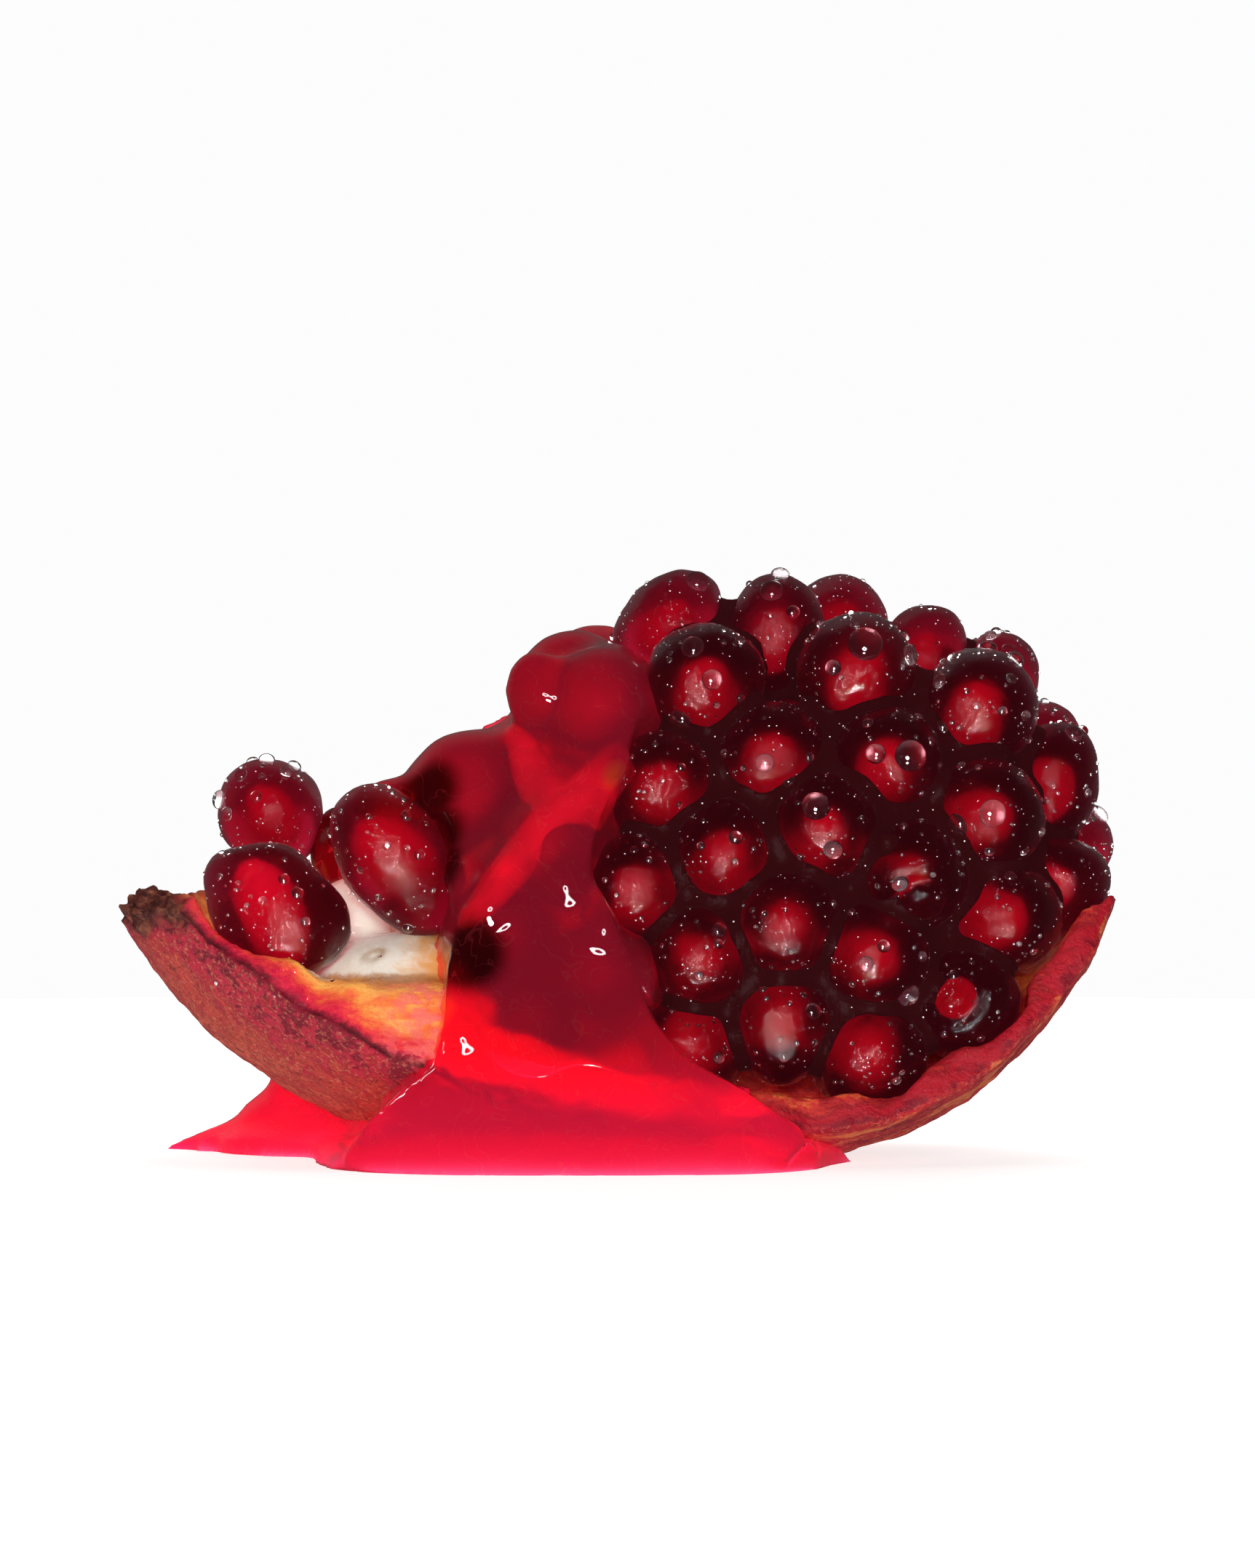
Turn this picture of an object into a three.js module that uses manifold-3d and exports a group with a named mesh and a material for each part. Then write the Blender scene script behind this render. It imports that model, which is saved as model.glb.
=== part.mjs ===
// A wedge of pomegranate lying on its rind, with its seeds facing forwards and juice syrup poured over it.
//
// Three kinds of piece make it up. The rind is one grown piece: the leathery skin, the cream pith under
// it and the placenta, the pith mound that the seeds grow on. Each aril is one seed in its sac of juice,
// pressed flat where it meets a neighbour. The syrup coats part of the seeds, falls over the front rim
// of the rind and ends in a pool on the surface that the wedge stands on.
//
// Millimetres, +Z up. X runs along the fruit's stem-to-crown line, and -Y is the side that the seeds face.
// The origin is on the surface, under the middle of the object.
import * as THREE from "three";
import { mergeVertices } from "three/addons/utils/BufferGeometryUtils.js";
import Module from "manifold-3d";

const wasm = await Module();
wasm.setup();

// ---------------------------------------------------------------- driving dimensions
const RIND_LEFT_OVER = 2.2; // what stays between a seed and the outside of the skin
const ARIL_HALF_LENGTH = 6.2;
const ARIL_HALF_WIDTH = 5.3;
const ARIL_TAPER = 0.13; // how much wider the free end is than the end that grows on the pith
const PRESS_SHARPNESS = 11; // a higher power gives flatter facets and sharper corners between seeds
const GAP = 0.32; // clearance between any two neighbouring pieces
const COAT_OVER_SEEDS = 1.15; // how far the syrup stands out over a seed that it covers
const ARIL_DETAIL = 2; // splits of the icosahedron that a seed starts from
const COAT_DETAIL = 1; // the same for the syrup's skin over a seed
const RIND_COLUMNS = 32; // grid cells along and across the rind
const RIND_ROWS = 16;
const COAT_COLUMNS = 8; // grid cells across the coat of syrup, and between two of its stations
const COAT_ROWS_PER_STATION = 1;
const POOL_HEIGHT = 2.6;
const POOL_SECTORS = 40;

const v3 = (x, y, z) => new THREE.Vector3(x, y, z);
const clamp01 = (t) => Math.min(1, Math.max(0, t));

// ---------------------------------------------------------------- the rind's shape
// Stations from the left tip to the right tip: x, the keel's height, how far the rind reaches to the front
// and to the back, how much higher its two rims lie than its keel, and its thickness.
const RIND_STATIONS = [
  { x: -41.8, keel: 19.6, front: 3.2, back: 4.2, rise: 1.4, thick: 2.2 },
  { x: -39.6, keel: 16.4, front: 6.6, back: 7.6, rise: 4.8, thick: 2.6 },
  { x: -36.5, keel: 12.4, front: 9.6, back: 10.8, rise: 8.0, thick: 2.9 },
  { x: -32.4, keel: 8.8, front: 12.4, back: 14.0, rise: 8.7, thick: 3.3 },
  { x: -28.3, keel: 5.8, front: 14.8, back: 16.6, rise: 8.9, thick: 4.0 },
  { x: -22.3, keel: 2.7, front: 16.8, back: 19.0, rise: 8.6, thick: 5.4 },
  { x: -16.2, keel: 0.9, front: 17.8, back: 20.3, rise: 7.4, thick: 6.6 },
  { x: -8.0, keel: -0.2, front: 17.8, back: 21.0, rise: 6.0, thick: 6.0 },
  { x: 0.0, keel: -0.5, front: 17.2, back: 21.2, rise: 4.8, thick: 4.6 },
  { x: 8.0, keel: -0.4, front: 16.2, back: 21.0, rise: 3.8, thick: 3.6 },
  { x: 17.0, keel: 0.1, front: 15.0, back: 20.5, rise: 2.9, thick: 3.2 },
  { x: 24.5, keel: 2.2, front: 13.6, back: 19.0, rise: 2.5, thick: 3.1 },
  { x: 31.0, keel: 6.3, front: 12.0, back: 16.5, rise: 2.3, thick: 3.0 },
  { x: 36.3, keel: 11.8, front: 9.8, back: 13.5, rise: 2.0, thick: 2.9 },
  { x: 39.8, keel: 17.0, front: 7.0, back: 9.6, rise: 1.3, thick: 2.6 },
  { x: 41.6, keel: 21.4, front: 4.0, back: 5.2, rise: 0.6, thick: 2.2 },
];
const RIND_FIRST = RIND_STATIONS[0];
const RIND_LAST = RIND_STATIONS[RIND_STATIONS.length - 1];
const rindCurves = {};
for (const key of ["keel", "front", "back", "rise", "thick"])
  rindCurves[key] = new THREE.SplineCurve(RIND_STATIONS.map((s) => new THREE.Vector2(s.x, s[key])));

// The station value at any x, read off its spline, whose points are in order of x.
function rindValue(key, x) {
  if (x <= RIND_FIRST.x) return RIND_FIRST[key];
  if (x >= RIND_LAST.x) return RIND_LAST[key];
  let low = 0;
  let high = 1;
  for (let i = 0; i < 24; i++) {
    const middle = (low + high) / 2;
    if (rindCurves[key].getPoint(middle).x < x) low = middle;
    else high = middle;
  }
  return rindCurves[key].getPoint(low).y;
}

// The skin's height over the surface. It is flattened to 0 where the wedge's weight rests on it.
function skinHeight(x, y) {
  const reach = rindValue(y < 0 ? "front" : "back", x);
  return Math.max(0, rindValue("keel", x) + rindValue("rise", x) * (y / reach) ** 2);
}
const skinPoint = (x, y) => v3(x, y, skinHeight(x, y));
function skinNormal(x, y) {
  const step = 0.8;
  const alongX = (skinHeight(x + step, y) - skinHeight(x - step, y)) / (2 * step);
  const alongY = (skinHeight(x, y + step) - skinHeight(x, y - step)) / (2 * step);
  return v3(-alongX, -alongY, 1).normalize(); // points into the fruit
}

// Mounds of pith that the seeds grow on, raised over the rind's inner side: centre, reach and height.
const PITH_MOUNDS = [
  { x: 13, y: 2.5, reachX: 18.5, reachY: 4.8, height: 26 },
  { x: -7, y: 3.0, reachX: 11, reachY: 4.8, height: 27 },
  { x: -25.5, y: 2, reachX: 9, reachY: 6, height: 15 },
];
function pithHeight(x, y) {
  const raised = PITH_MOUNDS.map((m) => {
    const away = ((x - m.x) / m.reachX) ** 4 + ((y - m.y) / m.reachY) ** 2;
    return m.height * Math.exp(-away);
  });
  return Math.max(...raised);
}

function pithSlope(x, y) {
  const step = 0.5;
  const alongX = pithHeight(x + step, y) - pithHeight(x - step, y);
  const alongY = pithHeight(x, y + step) - pithHeight(x, y - step);
  return Math.hypot(alongX, alongY) / (2 * step);
}

// Torn edges wander a little along their length.
const tornEdge = (x, phase) => 0.35 * Math.sin(0.9 * x + phase) + 0.2 * Math.sin(2.3 * x + 2 * phase);

// ---------------------------------------------------------------- solids from grids
function geometryOf(points, faces) {
  const geometry = new THREE.BufferGeometry();
  geometry.setAttribute("position", new THREE.Float32BufferAttribute(points.flatMap((p) => [p.x, p.y, p.z]), 3));
  geometry.setIndex(faces.flat());
  return geometry;
}

// A closed sheet between two surfaces over the same (u, v) grid. inner lies on the side that u x v points to.
function thickSheet(columns, rows, outer, inner) {
  const points = [];
  for (const surface of [outer, inner])
    for (let i = 0; i <= columns; i++)
      for (let j = 0; j <= rows; j++) points.push(surface(i / columns, j / rows));
  const at = (side, i, j) => side * (columns + 1) * (rows + 1) + i * (rows + 1) + j;
  const faces = [];
  const quad = (a, b, c, d) => faces.push([a, b, c], [a, c, d]);
  for (let i = 0; i < columns; i++)
    for (let j = 0; j < rows; j++) {
      quad(at(0, i, j), at(0, i, j + 1), at(0, i + 1, j + 1), at(0, i + 1, j));
      quad(at(1, i, j), at(1, i + 1, j), at(1, i + 1, j + 1), at(1, i, j + 1));
    }
  for (let i = 0; i < columns; i++) {
    quad(at(0, i, 0), at(0, i + 1, 0), at(1, i + 1, 0), at(1, i, 0));
    quad(at(0, i, rows), at(1, i, rows), at(1, i + 1, rows), at(0, i + 1, rows));
  }
  for (let j = 0; j < rows; j++) {
    quad(at(0, 0, j), at(1, 0, j), at(1, 0, j + 1), at(0, 0, j + 1));
    quad(at(0, columns, j), at(0, columns, j + 1), at(1, columns, j + 1), at(1, columns, j));
  }
  return geometryOf(points, faces);
}

function solidOf(geometry) {
  const bare = geometry.clone();
  bare.deleteAttribute("normal");
  bare.deleteAttribute("uv");
  const merged = mergeVertices(bare, 1e-4);
  return new wasm.Manifold(
    new wasm.Mesh({
      numProp: 3,
      vertProperties: new Float32Array(merged.attributes.position.array),
      triVerts: new Uint32Array(merged.index.array),
    }),
  );
}

function geometryFrom(solid) {
  const mesh = solid.getMesh();
  const geometry = new THREE.BufferGeometry();
  const positions = new Float32Array(mesh.numVert * 3);
  for (let i = 0; i < mesh.numVert; i++)
    for (let k = 0; k < 3; k++) positions[3 * i + k] = mesh.vertProperties[i * mesh.numProp + k];
  geometry.setAttribute("position", new THREE.BufferAttribute(positions, 3));
  geometry.setIndex(new THREE.BufferAttribute(new Uint32Array(mesh.triVerts), 1));
  return geometry;
}

// A cut can leave crumbs behind, so only the biggest body is kept.
const largestBody = (solid) => solid.decompose().sort((a, b) => b.volume() - a.volume())[0];

// ---------------------------------------------------------------- arils
// Where each seed sits: the middle of the seed, in rows from the rind upwards. aim is the way that its
// free end points; without one it points away from the placenta. long and wide scale its size.
const FRONT_ROWS = [
  { x: 6, y: -8.5, z: 9.9, wide: 0.96 },
  { x: 13.4, y: -9, z: 11.6 },
  { x: 20.4, y: -8.5, z: 9.2 },
  { x: 28.2, y: -6.5, z: 13.2 },
  { x: 6.8, y: -9, z: 16.8 },
  { x: 13.5, y: -9.5, z: 19.4 },
  { x: 20.8, y: -9, z: 17 },
  { x: 31.4, y: -5, z: 20.2 },
  { x: 35.6, y: -0.5, z: 22.6, aim: [0.9, -0.4, 0.3], wide: 0.84 },
  { x: 1.4, y: -8, z: 22.4 },
  { x: 8.7, y: -8, z: 25.1 },
  { x: 16.9, y: -8, z: 27.3 },
  { x: 24, y: -8, z: 23.6 },
  { x: 30, y: -5.5, z: 28.4 },
  { x: 3.7, y: -6, z: 30.8 },
  { x: 12.6, y: -5.5, z: 33 },
  { x: 22, y: -5.5, z: 32.7 },
  { x: 29.6, y: -2, z: 37, aim: [0.35, -0.8, 0.5] },
  { x: 7.1, y: -3.5, z: 39, aim: [-0.1, -0.75, 0.6] },
  { x: 19.8, y: -2.5, z: 39.7, aim: [0.1, -0.55, 0.85] },
];
const CREST_SEEDS = [
  { x: 4, y: 3, z: 44.4, aim: [0.72, -0.3, 0.62], wide: 0.76 },
  { x: 13, y: 2.5, z: 43.2, aim: [0.1, -0.3, 1], wide: 0.82 },
  { x: 18.4, y: 10, z: 44, aim: [0.5, 0.2, 0.8], wide: 0.82, long: 0.9 },
  { x: 25.8, y: 6, z: 41.4, aim: [0.2, 0.2, 0.9], wide: 0.78, long: 0.9 },
  { x: 31, y: 7.5, z: 39.4, aim: [0.6, 0.1, 0.7], wide: 0.8, long: 0.9 },
  { x: 36, y: 1.5, z: 30.6, aim: [0.12, -0.25, 1], long: 1.08, wide: 0.8 },
  { x: 34.4, y: 10, z: 33.6, aim: [0.8, 0.3, 0.6], wide: 0.8 },
  { x: 36.6, y: 7.5, z: 25.2, aim: [0.9, 0.3, 0.2], wide: 0.8 },
  { x: 9.6, y: 10, z: 40.4, aim: [-0.2, 0.5, 0.9], wide: 0.84 },
  { x: 15.6, y: 4.6, z: 35.2, aim: [0, -0.2, 1], wide: 0.9 },
  { x: 24.6, y: 3.4, z: 34.6, aim: [0.2, -0.2, 1], wide: 0.86 },
];
const BACK_ROWS = [
  { x: -2, y: 13, z: 14.5 },
  { x: 6.5, y: 13.5, z: 13 },
  { x: 15.5, y: 13.5, z: 13 },
  { x: 24, y: 12.5, z: 15.5 },
  { x: 2, y: 13, z: 22.2 },
  { x: 11, y: 13.5, z: 21.8 },
  { x: 19.6, y: 13.5, z: 22.4 },
  { x: 28.4, y: 12.5, z: 23.4 },
  { x: 6.4, y: 12.5, z: 30.6 },
  { x: 15.2, y: 13, z: 31 },
  { x: 24, y: 12.5, z: 31.6 },
  { x: 31, y: 11.5, z: 28.8, wide: 0.9 },
  { x: 27, y: 12, z: 37.6, wide: 0.86 },
  { x: -2.6, y: 11, z: 31.4, wide: 0.94 },
];
const COATED_SEEDS = [
  { x: -3.3, y: 2.6, z: 38.5, aim: [-0.6, -0.5, 0.6], long: 0.8, wide: 0.78 },
  { x: -0.9, y: -2.8, z: 36.9, aim: [-0.3, -0.8, 0.5], long: 0.86, wide: 0.8 },
  { x: -11.6, y: -1, z: 28.8, aim: [-0.5, -0.6, 0.6], long: 1, wide: 1 },
  { x: -8.9, y: -7.5, z: 18, aim: [-0.3, -0.95, 0.1], long: 0.96, wide: 0.84 },
  { x: -5.2, y: -6.5, z: 25.2, wide: 0.84 },
  { x: -7, y: -8.5, z: 11.2, wide: 0.8, long: 0.9 },
  { x: -1.4, y: -8.5, z: 15.4, wide: 0.84 },
  { x: -10.4, y: 10.5, z: 24.4, aim: [-0.5, 0.8, 0.3], wide: 0.9 },
  { x: -0.8, y: 9.5, z: 38.2, aim: [-0.4, 0.5, 0.8], wide: 0.8 },
];
const LOOSE_SEEDS = [
  { x: -29.2, y: 1.2, z: 28.5, aim: [-0.35, -0.55, 0.75], long: 0.84, wide: 0.86 },
  { x: -28.5, y: -8, z: 20.7, aim: [0.8, -0.05, -0.5], long: 1.22, wide: 0.8, bend: 1.3 },
  { x: -18.4, y: -6, z: 25, aim: [-0.58, -0.15, 0.78], long: 1.18, wide: 0.84 },
];

// The placenta's line, in the middle of the wedge, that seeds with no aim of their own grow away from.
const growthAim = (place) => v3(0.25 * clamp01((place.x - 24) / 10), Math.sign(place.y - 2), 0.12);

function seatOf(row, name) {
  const place = v3(row.x, row.y, row.z);
  const aim = row.aim ? v3(...row.aim) : growthAim(place);
  return {
    name,
    place,
    aim: aim.normalize(),
    halfLength: ARIL_HALF_LENGTH * (row.long ?? 1),
    halfWidth: ARIL_HALF_WIDTH * (row.wide ?? 1),
    bend: row.bend ?? 0,
  };
}
const seatsOf = (group, rows) => rows.map((row, i) => seatOf(row, `aril_${group}_${i + 1}`));
const COATED_SEATS = seatsOf("coated", COATED_SEEDS);
const SEATS = [
  ...seatsOf("loose", LOOSE_SEEDS),
  ...COATED_SEATS,
  ...seatsOf("front", FRONT_ROWS),
  ...seatsOf("crest", CREST_SEEDS),
  ...seatsOf("back", BACK_ROWS),
];

// How far a free seed reaches from its middle in a direction: an egg with its wide end at the aim.
function eggReach(seat, direction) {
  const along = direction.dot(seat.aim);
  const across = Math.sqrt(Math.max(0, 1 - along * along));
  const width = seat.halfWidth * (1 + ARIL_TAPER * along);
  return 1 / Math.hypot(along / seat.halfLength, across / width);
}

// The flat sides that press on a seed, each a unit normal and how far it lies from the seed's middle.
function pressingSides(seat) {
  const sides = [];
  for (const other of SEATS) {
    if (other === seat) continue;
    const normal = other.place.clone().sub(seat.place);
    const distance = normal.length();
    if (distance > 2.4 * ARIL_HALF_LENGTH) continue;
    normal.normalize();
    const mine = eggReach(seat, normal);
    const theirs = eggReach(other, normal.clone().negate());
    sides.push({ normal, distance: (distance * mine) / (mine + theirs) - GAP / 2 });
  }
  const inwards = skinNormal(seat.place.x, seat.place.y);
  const skin = skinPoint(seat.place.x, seat.place.y);
  const overSkin = seat.place.clone().sub(skin).dot(inwards);
  sides.push({ normal: inwards.negate(), distance: overSkin - RIND_LEFT_OVER - GAP });
  return sides;
}

// One pressed seed. swell makes it that much larger all round, for the hollow that it sits in.
function arilGeometry(seat, swell = 0, detail = ARIL_DETAIL) {
  const geometry = new THREE.IcosahedronGeometry(1, detail);
  const sides = pressingSides(seat);
  const position = geometry.attributes.position;
  const direction = v3();
  const sideways = v3(0, 0, 1).projectOnPlane(seat.aim).normalize();
  for (let i = 0; i < position.count; i++) {
    direction.fromBufferAttribute(position, i).normalize();
    let sum = eggReach(seat, direction) ** -PRESS_SHARPNESS;
    for (const side of sides) {
      const facing = direction.dot(side.normal);
      if (facing > 0.05) sum += (side.distance / facing) ** -PRESS_SHARPNESS;
    }
    const reach = sum ** (-1 / PRESS_SHARPNESS) + swell;
    const at = direction.clone().multiplyScalar(reach);
    const sag = seat.bend * (0.5 - (at.dot(seat.aim) / seat.halfLength) ** 2);
    at.addScaledVector(sideways, -sag).add(seat.place);
    position.setXYZ(i, at.x, at.y, at.z);
  }
  return geometry;
}

// ---------------------------------------------------------------- rind and pith
// The sheet that the rind is cut from. swell makes it that much larger all round, on the same grid.
function rindBlank(swell = 0) {
  const outwards = (t) => (t === 0 ? -swell : t === 1 ? swell : 0);
  const domain = (u, v) => {
    const x = RIND_FIRST.x + (RIND_LAST.x - RIND_FIRST.x) * u + outwards(u);
    const front = -rindValue("front", x) + tornEdge(x, 0);
    const back = rindValue("back", x) + tornEdge(x, 2);
    return [x, front + (back - front) * v + outwards(v)];
  };
  const outer = (u, v) => {
    const [x, y] = domain(u, v);
    return skinPoint(x, y).addScaledVector(skinNormal(x, y), -swell);
  };
  const inner = (u, v) => {
    const [x, y] = domain(u, v);
    const raised = skinPoint(x, y).addScaledVector(skinNormal(x, y), rindValue("thick", x) + swell);
    raised.z += pithHeight(x, y) + swell * (Math.hypot(1, pithSlope(x, y)) - 1);
    return raised;
  };
  return solidOf(thickSheet(RIND_COLUMNS, RIND_ROWS, outer, inner));
}

// ---------------------------------------------------------------- syrup
// The coat's front, from the crest down to the surface: height, left and right edge, how far forwards it
// lies at the left edge, in the middle and at the right edge, and how far it goes in behind its front.
const COAT_STATIONS = [
  { z: 43, left: -5.6, right: 0.4, ys: [3, -2, -3], depth: 3 },
  { z: 40, left: -7.4, right: 1.4, ys: [2, -5, -7], depth: 3.4 },
  { z: 37, left: -9, right: 1.6, ys: [1, -7, -9], depth: 4 },
  { z: 34.4, left: -13.4, right: 0.8, ys: [0, -8, -10.5], depth: 4 },
  { z: 31, left: -17.6, right: -0.5, ys: [-1, -8.5, -12], depth: 4.4 },
  { z: 27.5, left: -17.8, right: -1.8, ys: [-4, -11.5, -13.5], depth: 5 },
  { z: 24, left: -15, right: -2.2, ys: [-9, -14.6, -14.8], depth: 5.6 },
  { z: 20.5, left: -12.8, right: -0.2, ys: [-12.8, -16, -15.6], depth: 6.5 },
  { z: 16, left: -14, right: 1, ys: [-15.4, -17.2, -16.2], depth: 6.5 },
  { z: 12, left: -14.2, right: 2.8, ys: [-17.6, -18.6, -17.2], depth: 6.5 },
  { z: 9, left: -14.6, right: 5.6, ys: [-19.3, -19.6, -18], depth: 6.5 },
  { z: 6.5, left: -17.6, right: 10.4, ys: [-19.6, -20.2, -18], depth: 6.5 },
  { z: 4, left: -20.2, right: 14.2, ys: [-19, -20.4, -17], depth: 7 },
  { z: 1.2, left: -22.4, right: 16.6, ys: [-16, -20, -14], depth: 7 },
];

function coatBlank() {
  const curveOf = (pick) => new THREE.CatmullRomCurve3(COAT_STATIONS.map(pick), false, "centripetal");
  const left = curveOf((s) => v3(s.left, s.ys[0], s.z));
  const middle = curveOf((s) => v3((s.left + s.right) / 2, s.ys[1], s.z));
  const right = curveOf((s) => v3(s.right, s.ys[2], s.z));
  const behind = curveOf((s) => v3(0, s.depth, s.z));
  const front = (u, v) => {
    const across = new THREE.QuadraticBezierCurve3(left.getPoint(v), middle.getPoint(v), right.getPoint(v));
    return across.getPoint(u);
  };
  const back = (u, v) => front(u, v).add(v3(0, behind.getPoint(v).y, 0));
  return solidOf(thickSheet(COAT_COLUMNS, (COAT_STATIONS.length - 1) * COAT_ROWS_PER_STATION, front, back));
}

// The pool's outline on the surface, with a tail that runs back under the raised end of the rind.
const POOL_OUTLINE = [
  [-38.8, 13],
  [-34, 9],
  [-28.6, 3],
  [-26, -3],
  [-25.4, -9],
  [-23.4, -14],
  [-18, -17.8],
  [-11, -19.8],
  [-3, -19.6],
  [5, -18],
  [12, -14.6],
  [17, -9],
  [19, -3.5],
  [15, 0],
  [6, 3],
  [-2, 7.5],
  [-12, 12],
  [-23, 14.2],
  [-33, 14.6],
].map(([x, y]) => new THREE.Vector3(x, y, 0));
const POOL_CENTRE = v3(-9, -7, 0);
const POOL_RINGS = [0, 0.3, 0.55, 0.75, 0.88, 0.96, 1];

function poolBlank() {
  const outline = new THREE.CatmullRomCurve3(POOL_OUTLINE, true, "centripetal");
  const rim = outline.getSpacedPoints(POOL_SECTORS).slice(0, POOL_SECTORS);
  const points = [POOL_CENTRE.clone().setZ(POOL_HEIGHT)];
  for (const share of POOL_RINGS.slice(1))
    for (const edge of rim) {
      const height = POOL_HEIGHT * Math.sqrt(1 - share ** 4);
      points.push(POOL_CENTRE.clone().lerp(edge, share).setZ(height));
    }
  const under = points.push(POOL_CENTRE.clone()) - 1;
  const faces = [];
  const at = (ring, sector) => 1 + (ring - 1) * POOL_SECTORS + (sector % POOL_SECTORS);
  const lastRing = POOL_RINGS.length - 1;
  for (let s = 0; s < POOL_SECTORS; s++) {
    faces.push([0, at(1, s), at(1, s + 1)]);
    faces.push([under, at(lastRing, s + 1), at(lastRing, s)]);
    for (let r = 1; r < lastRing; r++)
      faces.push([at(r, s), at(r + 1, s), at(r + 1, s + 1)], [at(r, s), at(r + 1, s + 1), at(r, s + 1)]);
  }
  return solidOf(geometryOf(points, faces));
}

// Syrup also clings under the raised left end of the rind: radius and height of its hollow-sided foot.
const CLING_PROFILE = [
  [0, 0],
  [12, 0],
  [9.6, 0.8],
  [7.4, 2],
  [5.8, 3.6],
  [4.8, 5.6],
  [4.4, 8.4],
  [0, 8.4],
].map(([radius, height]) => new THREE.Vector2(radius, height));
const CLING_CENTRE = v3(-24.8, 5.5, 0);
const CLING_SQUASH = 0.7; // its size along Y next to its size along X

function clingBlank() {
  const foot = new THREE.LatheGeometry(CLING_PROFILE, 20);
  foot.rotateX(Math.PI / 2).scale(1, CLING_SQUASH, 1);
  foot.translate(CLING_CENTRE.x, CLING_CENTRE.y, CLING_CENTRE.z);
  return solidOf(foot);
}

// ---------------------------------------------------------------- assembly
const joined = (solids) => solids.reduce((all, one) => all.add(one));
const hollows = joined(SEATS.map((seat) => solidOf(arilGeometry(seat, GAP))));
const rind = largestBody(rindBlank().subtract(hollows));

const coatedSkins = COATED_SEATS.map((seat) => solidOf(arilGeometry(seat, COAT_OVER_SEEDS, COAT_DETAIL)));
const poured = joined([coatBlank(), poolBlank(), clingBlank(), ...coatedSkins]);
const syrup = largestBody(poured.subtract(hollows).subtract(rindBlank(GAP)));

const skinFinish = new THREE.MeshStandardMaterial({ color: 0x9c2a2c, roughness: 0.55, metalness: 0 });
const arilFinish = new THREE.MeshStandardMaterial({ color: 0x6a0714, roughness: 0.08, metalness: 0 });
const syrupFinish = new THREE.MeshStandardMaterial({ color: 0xc20a24, roughness: 0.04, metalness: 0 });

const wedge = new THREE.Group();
function addPiece(name, geometry, finish) {
  const mesh = new THREE.Mesh(geometry, finish);
  mesh.name = name;
  wedge.add(mesh);
}
addPiece("rind_with_pith", geometryFrom(rind), skinFinish);
addPiece("juice_syrup", geometryFrom(syrup), syrupFinish);
for (const seat of SEATS) addPiece(seat.name, arilGeometry(seat), arilFinish);

// The origin goes on the surface, under the middle of the whole object.
wedge.updateMatrixWorld(true);
const extent = new THREE.Box3().setFromObject(wedge, true);
const middle = extent.getCenter(v3(0, 0, 0));
wedge.position.set(-middle.x, -middle.y, -extent.min.z);

export default wedge;
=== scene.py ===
"""The looks of a wedge of pomegranate: skin and pith, translucent arils, syrup and drops of water.

Metres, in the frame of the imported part. The seeds face -Y, and the wedge stands on z = 0.
"""

import math

import bmesh
import bpy
import numpy as np
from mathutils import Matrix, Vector, noise
from mathutils.bvhtree import BVHTree
from mathutils.kdtree import KDTree


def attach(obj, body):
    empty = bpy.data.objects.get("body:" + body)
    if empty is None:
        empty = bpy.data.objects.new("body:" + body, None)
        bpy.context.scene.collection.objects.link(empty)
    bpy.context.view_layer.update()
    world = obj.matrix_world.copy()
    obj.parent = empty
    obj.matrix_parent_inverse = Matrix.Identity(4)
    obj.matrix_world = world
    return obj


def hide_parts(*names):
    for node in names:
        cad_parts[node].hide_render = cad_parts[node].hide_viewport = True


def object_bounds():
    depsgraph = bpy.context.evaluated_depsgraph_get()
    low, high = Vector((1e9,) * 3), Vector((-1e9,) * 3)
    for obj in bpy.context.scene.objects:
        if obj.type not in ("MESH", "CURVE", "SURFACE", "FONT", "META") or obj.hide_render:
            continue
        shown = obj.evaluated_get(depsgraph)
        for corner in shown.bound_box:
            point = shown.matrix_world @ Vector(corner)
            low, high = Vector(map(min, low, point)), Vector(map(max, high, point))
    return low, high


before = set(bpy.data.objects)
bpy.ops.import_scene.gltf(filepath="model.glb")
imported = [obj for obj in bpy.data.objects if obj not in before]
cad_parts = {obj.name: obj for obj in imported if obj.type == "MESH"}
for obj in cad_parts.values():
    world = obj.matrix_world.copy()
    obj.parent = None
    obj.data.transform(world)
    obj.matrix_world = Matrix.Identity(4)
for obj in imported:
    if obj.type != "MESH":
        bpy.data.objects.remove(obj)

cad_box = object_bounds()

MM = 0.001
LOW, HIGH = (Vector(corner) for corner in cad_box)
MIDDLE = (LOW + HIGH) / 2
ARIL_NODES = sorted(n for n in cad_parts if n.startswith("aril_"))
COATED_NODES = [n for n in ARIL_NODES if "coated" in n]
OPEN_NODES = [n for n in ARIL_NODES if "coated" not in n]

EYE = Vector((0.38, -450.8, 31.2)) * MM
LENS = 123.2  # mm on a 36 mm sensor: a short telephoto, level with the middle of the frame


# ---------------------------------------------------------------- small tools
def only(piece):
    """Makes piece the one selected and active object."""
    bpy.ops.object.select_all(action="DESELECT")
    piece.select_set(True)
    bpy.context.view_layer.objects.active = piece


def apply_modifier(piece, kind, **values):
    """Adds a modifier with the values given, and applies it."""
    only(piece)
    modifier = piece.modifiers.new(kind.lower(), kind)
    for key, value in values.items():
        setattr(modifier, key, value)
    bpy.ops.object.modifier_apply(modifier=modifier.name)


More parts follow.
